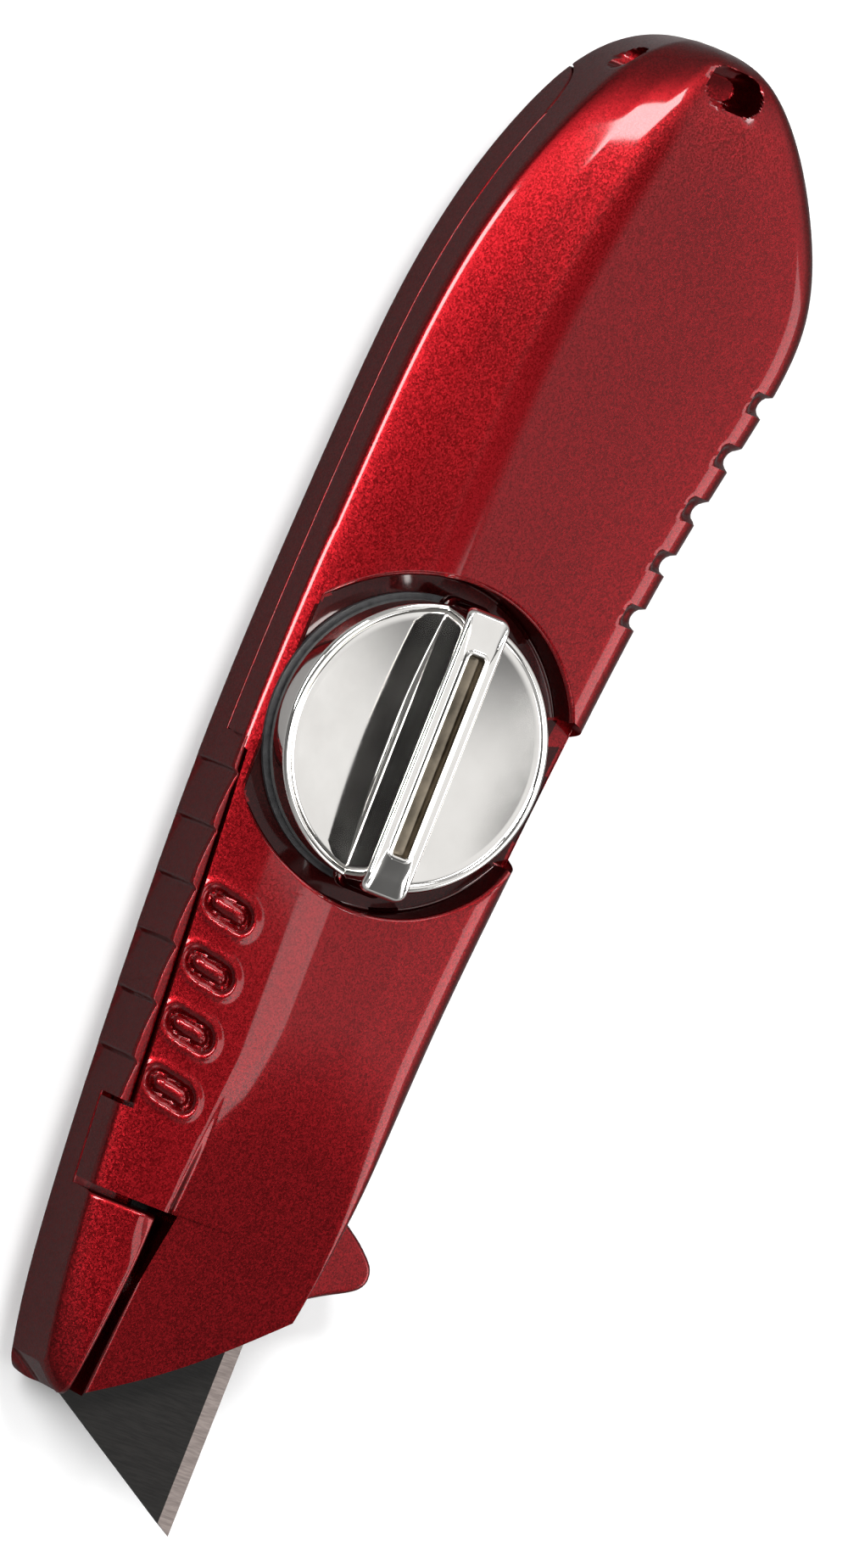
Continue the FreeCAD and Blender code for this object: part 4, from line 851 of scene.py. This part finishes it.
def make_guard():
    """Finger guard: its plan outline carried up through its thickness, with rounded edges."""
    outline = smooth_curve(((-47.6, -13.2), (-48.7, -15.9), (-50.0, -18.6), (-52.0, -21.6), (-54.0, -23.35),
                            (-56.2, -22.8), (-58.4, -18.6), (-61.0, -13.9)), 120)
    root = np.linspace(outline[-1], (-60.0, -11.0), 8)[1:]
    back = np.linspace((-60.0, -11.0), (-48.2, -11.0), 16)[1:]
    outline = np.vstack([outline, root, back])
    centre = outline.mean(0)
    ahead, behind = np.roll(outline, -1, 0), np.roll(outline, 1, 0)
    run = ahead - behind
    run /= np.maximum(np.linalg.norm(run, axis=1, keepdims=True), 1e-9)
    inward = np.stack([-run[:, 1], run[:, 0]], -1)
    inward *= np.sign(np.sum(inward * (centre - outline), 1, keepdims=True).mean())
    low, high, rounding = 5.0, 9.98, 0.55
    rows = []
    for angles, level, side in ((np.linspace(0, 90, 6), low, 1), (np.linspace(90, 0, 6), high, -1)):
        for angle in np.radians(angles):
            plan = outline + inward * rounding * (1 - math.sin(angle))
            height = level + side * rounding * (1 - math.cos(angle))
            rows.append(np.column_stack([plan, np.full(len(outline), height)]))
    return mesh_from("finger_guard", [(np.stack(rows), True)])


def revolve(profile, centre=(0, 0), count=96):
    """Closed body of revolution about a line along Z: profile rows of (radius, z)."""
    angle = np.linspace(0, 2 * np.pi, count, endpoint=False)
    r, z = np.asarray(profile, float).T
    grid = np.stack([centre[0] + r[:, None] * np.cos(angle), centre[1] + r[:, None] * np.sin(angle),
                     np.broadcast_to(z[:, None], (len(z), count))], -1)
    return grid


def make_bosses():
    """Two round bosses that carry the lock plate's screws, their feet set in the middle of the wall."""
    profile = ((0.0, 1.0), (2.9, 1.0), (2.9, 1.9), (2.9, 3.0), (2.9, 7.35), (2.75, 7.6), (0.0, 7.6))
    grids = []
    for side in (-1, 1):
        grid = revolve(profile, (0, side * BOSS_Y), 40)
        w = w_for_y(grid[..., 0], grid[..., 1], low=2.0, high=9.0, net=BACK)
        foot = SEAM - section(u_at(grid[..., 0]), w, BACK)[..., 1] + WALL / 2
        grid[..., 2] = np.minimum(np.maximum(grid[..., 2], foot), profile[-1][1])
        grids.append((grid, True))
    return mesh_from("lock_plate_bosses", grids)


# ---------------------------------------------------------------- dial

def rounded_outline(length, width, corner, count=240):
    """Points of a rectangle with round corners, spaced evenly by angle of travel round it."""
    corner = min(corner, width / 2 - 1e-3)
    straight_x, straight_y = length / 2 - corner, width / 2 - corner
    arcs = []
    for quarter, (sx, sy) in enumerate(((1, 1), (-1, 1), (-1, -1), (1, -1))):
        angle = np.radians(np.linspace(quarter * 90, quarter * 90 + 90, 10))
        arcs.append(np.column_stack([sx * straight_x + corner * np.cos(angle),
                                     sy * straight_y + corner * np.sin(angle)]))
    long_run = np.linspace(0, 1, count // 2 - 22)[1:-1, None]
    short_run = np.linspace(0, 1, 14)[1:-1, None]
    sides = [arcs[0], arcs[0][-1] + (arcs[1][0] - arcs[0][-1]) * long_run,
             arcs[1], arcs[1][-1] + (arcs[2][0] - arcs[1][-1]) * short_run,
             arcs[2], arcs[2][-1] + (arcs[3][0] - arcs[2][-1]) * long_run,
             arcs[3], arcs[3][-1] + (arcs[0][0] - arcs[3][-1]) * short_run]
    return np.vstack(sides)


def make_dial():
    """Chrome dial: a dished disc of revolution and the grip bar across it, each a closed surface."""
    dish = 0.85
    face_r = np.linspace(DIAL_R - 1.25, 0, 26)
    face_z = DIAL_TOP - 0.12 - dish * (1 - (face_r / (DIAL_R - 1.25)) ** 2)
    rim = []
    for angle in np.radians(np.linspace(0, 180, 15)):
        rim.append((DIAL_R - 0.55 + 0.55 * math.cos(angle), DIAL_TOP - 0.5 + 0.5 * math.sin(angle)))
    rim = [(r, z) for r, z in rim if not (r < DIAL_R - 1.0 and z < DIAL_TOP - 0.1)]
    profile = [(0, DIAL_LOW), (DIAL_R - 0.6, DIAL_LOW), (DIAL_R - 0.2, DIAL_LOW + 0.15),
               (DIAL_R, DIAL_LOW + 0.6), (DIAL_R, DIAL_LOW + 2.0), *rim, *zip(face_r, face_z)]
    disc = revolve(profile, count=220)

    rows = []

    def add(outset, z):
        """One level of the grip bar: a round-cornered rectangle that falls off towards its ends."""
        plan = rounded_outline(BAR_LENGTH + 2 * outset, BAR_WIDTH + 2 * outset, max(1.1 + outset, 0.12))
        end = np.clip((np.abs(plan[:, 0]) - (BAR_LENGTH / 2 - 2.2)) / 2.2, 0, 1)
        fall = 0.9 * end ** 2.5 * np.clip((z - 21.0) / 4.1, 0, 1)
        rows.append(np.column_stack([plan, z - fall]))

    flat = BAR_TOP - 0.14
    for outset, z in ((0.45, 18.2), (0.45, 19.1), (0.3, 19.32), (0.12, 19.6), (0.03, 19.95), (0.0, 20.4),
                      (0.0, 22.0), (0.0, 23.6), (0.0, flat - 0.55)):
        add(outset, z)
    for angle in np.radians((18, 36, 54, 72, 90)):
        add(-0.5 * (1 - math.cos(angle)), flat - 0.5 + 0.5 * math.sin(angle))
    inner = []
    for outset, z in ((0.62, 0.0), (0.5, 0.03), (0.38, 0.11), (0.2, 0.13), (0.06, 0.1), (0.0, 0.0),
                      (-0.02, -0.35), (-0.05, -0.8), (-0.15, -1.0), (-0.45, -1.1)):
        plan = rounded_outline(SLOT_LENGTH + 2 * outset, SLOT_WIDTH + 2 * outset, 0.35 + max(outset, 0))
        inner.append(np.column_stack([plan, np.full(len(plan), flat + z)]))
    top = rows[-1]
    rows.append((top + inner[0]) / 2 - np.array([0, 0, 0.03]))
    rows += inner
    last = np.array(inner[-1])
    last[:, 1] *= 0.02
    rows.append(last)
    return mesh_from("dial_cap", [(disc, True), (np.stack(rows), True)])


# ---------------------------------------------------------------- finishes

def node(tree, kind, place=(0, 0), **values):
    """Add a shader node, set its properties and its input values by name."""
    item = tree.nodes.new(kind)
    item.location = place
    for key, value in values.items():
        if hasattr(item, key) and not key[0].isupper():
            setattr(item, key, value)
        else:
            item.inputs[key.replace("_", " ")].default_value = value
    return item


def flake_group():
    """Metal flake: each small cell tilts the normal its own way, and some cells are brighter."""
    tree = bpy.data.node_groups.new("metal_flake", "ShaderNodeTree")
    face = tree.interface
    face.new_socket("Scale", in_out="INPUT", socket_type="NodeSocketFloat").default_value = 7000.0
    face.new_socket("Tilt", in_out="INPUT", socket_type="NodeSocketFloat").default_value = 0.25
    face.new_socket("Normal", in_out="OUTPUT", socket_type="NodeSocketVector")
    face.new_socket("Sparkle", in_out="OUTPUT", socket_type="NodeSocketFloat")
    source = tree.nodes.new("NodeGroupInput")
    sink = tree.nodes.new("NodeGroupOutput")
    places = node(tree, "ShaderNodeTexCoord")
    cells = node(tree, "ShaderNodeTexVoronoi", feature="F1")
    shift = node(tree, "ShaderNodeVectorMath", operation="SUBTRACT")
    shift.inputs[1].default_value = (0.5, 0.5, 0.5)
    scale = node(tree, "ShaderNodeVectorMath", operation="SCALE")
    shape = node(tree, "ShaderNodeNewGeometry")
    add = node(tree, "ShaderNodeVectorMath", operation="ADD")
    unit = node(tree, "ShaderNodeVectorMath", operation="NORMALIZE")
    split = node(tree, "ShaderNodeSeparateColor")
    link = tree.links.new
    link(places.outputs["Object"], cells.inputs["Vector"])
    link(source.outputs["Scale"], cells.inputs["Scale"])
    link(cells.outputs["Color"], shift.inputs[0])
    link(shift.outputs[0], scale.inputs[0])
    link(source.outputs["Tilt"], scale.inputs["Scale"])
    link(scale.outputs[0], add.inputs[0])
    link(shape.outputs["Normal"], add.inputs[1])
    link(add.outputs[0], unit.inputs[0])
    link(cells.outputs["Color"], split.inputs[0])
    link(unit.outputs[0], sink.inputs["Normal"])
    link(split.outputs["Red"], sink.inputs["Sparkle"])
    return tree


def grain_group():
    """Fine uneven grain: noise on stretched object coordinates, as a height and a mask."""
    tree = bpy.data.node_groups.new("fine_grain", "ShaderNodeTree")
    face = tree.interface
    face.new_socket("Stretch", in_out="INPUT", socket_type="NodeSocketVector").default_value = (1, 1, 1)
    face.new_socket("Scale", in_out="INPUT", socket_type="NodeSocketFloat").default_value = 900.0
    face.new_socket("Height", in_out="OUTPUT", socket_type="NodeSocketFloat")
    face.new_socket("Mask", in_out="OUTPUT", socket_type="NodeSocketFloat")
    source = tree.nodes.new("NodeGroupInput")
    sink = tree.nodes.new("NodeGroupOutput")
    places = node(tree, "ShaderNodeTexCoord")
    stretch = node(tree, "ShaderNodeVectorMath", operation="MULTIPLY")
    noise = node(tree, "ShaderNodeTexNoise", Detail=4.0, Roughness=0.6)
    ramp = node(tree, "ShaderNodeMapRange")
    ramp.inputs["From Min"].default_value = 0.35
    ramp.inputs["From Max"].default_value = 0.65
    link = tree.links.new
    link(places.outputs["Object"], stretch.inputs[0])
    link(source.outputs["Stretch"], stretch.inputs[1])
    link(stretch.outputs[0], noise.inputs["Vector"])
    link(source.outputs["Scale"], noise.inputs["Scale"])
    link(noise.outputs["Fac"], ramp.inputs["Value"])
    link(noise.outputs["Fac"], sink.inputs["Height"])
    link(ramp.outputs["Result"], sink.inputs["Mask"])
    return tree


FLAKE = flake_group()
GRAIN = grain_group()


def blank(name):
    """New material with its node tree and its main shader."""
    material = bpy.data.materials.new(name)
    material.use_nodes = True
    tree = material.node_tree
    return material, tree, tree.nodes["Principled BSDF"]


def use_group(tree, group, **values):
    """Place a shared effect in a material's tree with its own input values."""
    item = tree.nodes.new("ShaderNodeGroup")
    item.node_tree = group
    for key, value in values.items():
        item.inputs[key].default_value = value
    return item


def mixed(tree, mask, low, high, target):
    """Mix two colours by a mask into a colour input."""
    mix = node(tree, "ShaderNodeMix", data_type="RGBA")
    mix.inputs["A"].default_value = (*low, 1)
    mix.inputs["B"].default_value = (*high, 1)
    tree.links.new(mask, mix.inputs["Factor"])
    tree.links.new(mix.outputs["Result"], target)
    return mix


def ranged(tree, mask, low, high, target):
    """Map a 0 to 1 mask to a range of numbers for a float input."""
    item = node(tree, "ShaderNodeMapRange")
    item.inputs["To Min"].default_value = low
    item.inputs["To Max"].default_value = high
    tree.links.new(mask, item.inputs["Value"])
    tree.links.new(item.outputs["Result"], target)
    return item


def lacquer(name, deep, bright):
    """Candy lacquer over metal flake: a tinted metal layer under a smooth clear coat."""
    material, tree, shader = blank(name)
    flake = use_group(tree, FLAKE, Scale=6500.0, Tilt=0.09)
    mixed(tree, flake.outputs["Sparkle"], deep, bright, shader.inputs["Base Color"])
    tree.links.new(flake.outputs["Normal"], shader.inputs["Normal"])
    grain = use_group(tree, GRAIN, Scale=60.0)
    ranged(tree, grain.outputs["Mask"], 0.35, 0.39, shader.inputs["Roughness"])
    shader.inputs["Metallic"].default_value = 1.0
    shader.inputs["Specular Tint"].default_value = (0.25, 0.02, 0.02, 1)
    shader.inputs["Coat Weight"].default_value = 0.75
    shader.inputs["Coat Roughness"].default_value = 0.07
    shader.inputs["Coat IOR"].default_value = 1.38
    return material


def metal(name, low, high, roughness, stretch=(1, 1, 1), scale=400.0, bump=0.02, metallic=1.0):
    """Bare or plated metal: two close tones, varied gloss and a faint grain in relief."""
    material, tree, shader = blank(name)
    grain = use_group(tree, GRAIN, Scale=scale)
    grain.inputs["Stretch"].default_value = stretch
    mixed(tree, grain.outputs["Mask"], low, high, shader.inputs["Base Color"])
    ranged(tree, grain.outputs["Mask"], roughness[0], roughness[1], shader.inputs["Roughness"])
    relief = node(tree, "ShaderNodeBump", Strength=bump, Distance=0.0001)
    tree.links.new(grain.outputs["Height"], relief.inputs["Height"])
    tree.links.new(relief.outputs["Normal"], shader.inputs["Normal"])
    shader.inputs["Metallic"].default_value = metallic
    return material


def blade_finish(name, edge_y):
    """Black-coated blade steel with a bare ground strip along the cutting edge, by place across it."""
    material, tree, shader = blank(name)
    places = node(tree, "ShaderNodeTexCoord")
    split = node(tree, "ShaderNodeSeparateXYZ")
    strip = node(tree, "ShaderNodeMapRange")
    strip.inputs["From Min"].default_value = (edge_y + 1.93) * MM
    strip.inputs["From Max"].default_value = (edge_y + 1.87) * MM
    grain = use_group(tree, GRAIN, Scale=800.0)
    grain.inputs["Stretch"].default_value = (6.0, 0.5, 1.0)
    ground = node(tree, "ShaderNodeMix", data_type="RGBA")
    ground.inputs["A"].default_value = (0.10, 0.083, 0.077, 1)
    ground.inputs["B"].default_value = (0.155, 0.13, 0.12, 1)
    coat = node(tree, "ShaderNodeMix", data_type="RGBA")
    coat.inputs["A"].default_value = (0.005, 0.0045, 0.004, 1)
    coat.inputs["B"].default_value = (0.011, 0.010, 0.009, 1)
    mix = node(tree, "ShaderNodeMix", data_type="RGBA")
    link = tree.links.new
    link(places.outputs["Object"], split.inputs[0])
    link(split.outputs["Y"], strip.inputs["Value"])
    link(grain.outputs["Mask"], ground.inputs["Factor"])
    link(grain.outputs["Mask"], coat.inputs["Factor"])
    link(coat.outputs["Result"], mix.inputs["A"])
    link(ground.outputs["Result"], mix.inputs["B"])
    link(strip.outputs["Result"], mix.inputs["Factor"])
    link(mix.outputs["Result"], shader.inputs["Base Color"])
    ranged(tree, strip.outputs["Result"], 0.50, 0.36, shader.inputs["Roughness"])
    ranged(tree, strip.outputs["Result"], 0.0, 0.85, shader.inputs["Metallic"])
    shader.inputs["Specular IOR Level"].default_value = 0.16
    relief = node(tree, "ShaderNodeBump", Strength=0.05, Distance=0.0001)
    link(grain.outputs["Height"], relief.inputs["Height"])
    link(relief.outputs["Normal"], shader.inputs["Normal"])
    return material


def moulded(name, low, high, roughness):
    """Moulded plastic or rubber: two close tones and a matt, faintly pitted surface."""
    return metal(name, low, high, roughness, scale=1500.0, bump=0.15, metallic=0.0)


RED = lacquer("red_lacquer", (0.10, 0.0025, 0.0035), (0.22, 0.006, 0.009))
# Near-black red lacquer: painted shade for the floor and wall of the dial recess.
RED_PAINTED_SHADE = lacquer("red_lacquer_painted_shade", (0.018, 0.002, 0.002), (0.035, 0.003, 0.003))
# Dark brown metal in place of chrome: painted shade for the slot in the dial's grip bar.
GROOVE_PAINTED_SHADE = metal("groove_painted_shade", (0.10, 0.085, 0.065), (0.20, 0.17, 0.13), (0.3, 0.45), scale=300.0)
CHROME = metal("chrome_plate", (0.80, 0.78, 0.75), (0.86, 0.84, 0.81), (0.05, 0.10),
               scale=120.0, bump=0.03)
STEEL = metal("brushed_steel", (0.42, 0.41, 0.40), (0.56, 0.55, 0.54), (0.25, 0.38), stretch=(0.3, 4, 1))
ZINC = metal("zinc_plate", (0.55, 0.56, 0.55), (0.68, 0.68, 0.66), (0.2, 0.32))
MAGNET = metal("nickel_plate", (0.62, 0.60, 0.56), (0.70, 0.68, 0.64), (0.12, 0.2))
NYLON = moulded("black_nylon", (0.012, 0.012, 0.013), (0.03, 0.03, 0.032), (0.42, 0.55))
PAD = moulded("grey_rubber", (0.03, 0.03, 0.03), (0.055, 0.055, 0.055), (0.6, 0.75))
BLADE = blade_finish("coated_blade", -12.0)
SPARE = blade_finish("coated_spare_blade", -12.45)

FINISH_OF = {
    "lock_plate": ZINC, "lock_plate_screws": ZINC, "hinge_pin": STEEL, "blade": BLADE,
    "blade_magnet": MAGNET, "blade_locating_pins": STEEL, "spare_blade_tray": NYLON,
    "spare_blade_spring": STEEL, "spare_blade_1": SPARE, "spare_blade_2": SPARE, "spare_blade_3": SPARE,
    "tray_screws": ZINC, "hinge_bushes": NYLON, "blade_pad": PAD, "dial_washer": NYLON,
    "detent_ball": STEEL, "detent_spring": STEEL, "dial_spindle": STEEL, "spindle_clip": STEEL,
    "wave_washer": STEEL, "front_shell": RED, "back_shell": RED, "dial": CHROME,
}


def second_finish(piece, material, chosen):
    """Give the faces whose centres satisfy a test, in millimetres, another material."""
    mesh = piece.data
    mesh.materials.append(material)
    centre = np.empty(len(mesh.polygons) * 3)
    mesh.polygons.foreach_get("center", centre)
    x, y, z = centre.reshape(-1, 3).T / MM
    index = np.where(chosen(x, y, z), len(mesh.materials) - 1, 0)
    mesh.polygons.foreach_set("material_index", index.astype(np.int32))


def finish_piece(piece, body, replaced, material):
    """Hand a finished piece to its body and give it its material."""
    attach(piece, body)
    if replaced:
        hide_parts(replaced)
    piece.data.materials.append(material)


def in_recess_painted_shade(x, y, z):
    """Floor and wall of the dial recess, which get a near-black painted shade."""
    return (np.hypot(x, y) < RECESS_R - 0.02) & (z > RECESS_FLOOR - 0.02) & (z < 19.2)


def in_bar_slot_painted_shade(x, y, z):
    """Walls and bottom of the slot in the grip bar, which get a dark brown painted shade."""
    return (np.abs(y) < 0.97) & (np.abs(x) < 11.3) & (z > 23) & (z < BAR_TOP - 0.3)


def dress_nodes():
    """Give every carried-over node its own finish."""
    for name, node_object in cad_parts.items():
        node_object.data.materials.clear()
        node_object.data.materials.append(FINISH_OF[name])


cover_piece = make_front_shell()
finish_piece(cover_piece, "cover", "front_shell", RED)
# The dial recess gets the near-black lacquer as painted shade.
second_finish(cover_piece, RED_PAINTED_SHADE, in_recess_painted_shade)
finish_piece(make_back_shell(), "handle", "back_shell", RED)
finish_piece(make_guard(), "handle", None, RED)
finish_piece(make_bosses(), "handle", None, RED)
dial_piece = make_dial()
finish_piece(dial_piece, "dial_body", "dial", CHROME)
# The slot in the grip bar gets the dark brown painted shade.
second_finish(dial_piece, GROOVE_PAINTED_SHADE, in_bar_slot_painted_shade)
dress_nodes()

# ---------------------------------------------------------------- stage, light and camera

VIEW_TILT = math.radians(28.0)
VIEW_TURN = math.radians(68.5)
AIM = Vector((-3.2, -2.2, 20.0)) * MM
DISTANCE = 1.1
VIEW_HEIGHT = 0.16515

# Sky: a base tone, then patches of (direction, inner angle, outer angle, tone), later ones over earlier.
SKY_BASE = (0.45, 0.45, 0.45)
SKY_PATCHES = (
    ((0.0, 1.0, 0.2), 30, 75, 0.15),
    ((0.0, -0.62, 0.78), 24, 44, 0.95),
    ((-0.42, -0.40, 0.81), 10, 26, 0.12),
    ((0.05, -0.06, 0.99), 5, 17, 0.04),
    ((0.0, 0.47, 0.88), 10, 20, 0.02),
)


def make_stage():
    """Pale floor just under the resting face, which glossy rays see as a dim grey: a painted shade in the
    knife's reflections.
    """
    reach, level = 2000.0, -0.2
    corners = np.array([[(-reach, -reach, level), (reach, -reach, level)],
                        [(-reach, reach, level), (reach, reach, level)]])
    floor = mesh_from("floor", [(corners, False)], cap=False)
    material, tree, shader = blank("pale_floor")
    grain = use_group(tree, GRAIN, Scale=40.0)
    mixed(tree, grain.outputs["Mask"], (0.90, 0.90, 0.90), (0.92, 0.92, 0.92), shader.inputs["Base Color"])
    shader.inputs["Roughness"].default_value = 0.9
    shader.inputs["Specular IOR Level"].default_value = 0.1
    # Painted reflection: glossy rays get this dim grey floor instead of the pale one, so the knife's sides
    # reflect painted shade.
    reflected_shade = node(tree, "ShaderNodeBsdfDiffuse")
    reflected_shade.inputs["Color"].default_value = (0.22, 0.22, 0.22, 1)
    path = node(tree, "ShaderNodeLightPath")
    blend = node(tree, "ShaderNodeMixShader")
    tree.links.new(path.outputs["Is Glossy Ray"], blend.inputs["Fac"])
    tree.links.new(shader.outputs["BSDF"], blend.inputs[1])
    tree.links.new(reflected_shade.outputs["BSDF"], blend.inputs[2])
    tree.links.new(blend.outputs["Shader"], tree.nodes["Material Output"].inputs["Surface"])
    floor.data.materials.append(material)


def sky_patch(tree, direction, inner, outer):
    """Mask over the sky: 1 within the inner angle of a direction, 0 outside the outer angle."""
    places = node(tree, "ShaderNodeTexCoord")
    dot = node(tree, "ShaderNodeVectorMath", operation="DOT_PRODUCT")
    dot.inputs[1].default_value = Vector(direction).normalized()
    mask = node(tree, "ShaderNodeMapRange", interpolation_type="SMOOTHSTEP")
    mask.inputs["From Min"].default_value = math.cos(math.radians(outer))
    mask.inputs["From Max"].default_value = math.cos(math.radians(inner))
    tree.links.new(places.outputs["Generated"], dot.inputs[0])
    tree.links.new(dot.outputs["Value"], mask.inputs["Value"])
    return mask.outputs["Result"]


def make_sky():
    """Studio surroundings: an even grey with soft-edged pale and dark patches."""
    world = bpy.data.worlds.new("studio")
    world.use_nodes = True
    tree = world.node_tree
    background = tree.nodes["Background"]
    last = None
    for direction, inner, outer, tone in SKY_PATCHES:
        mix = node(tree, "ShaderNodeMix", data_type="RGBA")
        if last is None:
            mix.inputs["A"].default_value = (*SKY_BASE, 1)
        else:
            tree.links.new(last, mix.inputs["A"])
        mix.inputs["B"].default_value = (tone, tone, tone, 1)
        tree.links.new(sky_patch(tree, direction, inner, outer), mix.inputs["Factor"])
        last = mix.outputs["Result"]
    tree.links.new(last, background.inputs["Color"])
    background.inputs["Strength"].default_value = 1.0
    bpy.context.scene.world = world


def add_light(name, energy, size, place, target=(0, 0, 10)):
    """Rectangular light of a size and place in metres, aimed at a target in millimetres."""
    data = bpy.data.lights.new(name, "AREA")
    data.energy = energy
    data.shape = "RECTANGLE"
    data.size, data.size_y = size
    light = bpy.data.objects.new(name, data)
    light.location = Vector(place)
    light.rotation_euler = (Vector(target) * MM - light.location).to_track_quat("-Z", "Y").to_euler()
    bpy.context.scene.collection.objects.link(light)


def add_camera():
    """Camera above the thumb side, 28 degrees off the dial's axis, turned so that +X runs up and right."""
    back = Vector((0, math.sin(VIEW_TILT), math.cos(VIEW_TILT)))
    side = Vector((0, math.cos(VIEW_TILT), -math.sin(VIEW_TILT)))
    along = Vector((1, 0, 0))
    right = along * math.cos(VIEW_TURN) - side * math.sin(VIEW_TURN)
    up = along * math.sin(VIEW_TURN) + side * math.cos(VIEW_TURN)
    data = bpy.data.cameras.new("camera")
    data.sensor_fit = "VERTICAL"
    data.sensor_height = 24
    data.lens = 24 * DISTANCE / VIEW_HEIGHT
    data.clip_end = 20
    camera = bpy.data.objects.new("camera", data)
    turn = Matrix((right, up, back)).transposed()
    camera.matrix_world = Matrix.Translation(AIM + back * DISTANCE) @ turn.to_4x4()
    bpy.context.scene.collection.objects.link(camera)
    bpy.context.scene.camera = camera


make_stage()
make_sky()
add_camera()
bpy.context.scene.view_settings.view_transform = "Standard"
add_light("belly_side", 6, (0.8, 0.6), (-0.1, -1.2, 0.9))
add_light("nose_side", 2.5, (0.6, 0.6), (-1.2, -0.3, 0.8))
add_light("butt_side", 5, (0.6, 0.6), (1.2, -0.3, 0.8))
add_light("shoulder_strip", 3.2, (0.30, 0.11), (0.12, 0.45, 0.46))
add_light("crease_strip", 0.7, (0.30, 0.20), (-0.09, -0.02, 0.58))
add_light("facet_panel", 3.4, (0.24, 0.16), (0.42, 0.23, 0.7))
add_light("butt_spot", 0.35, (0.07, 0.07), (0.35, -0.37, 0.65))
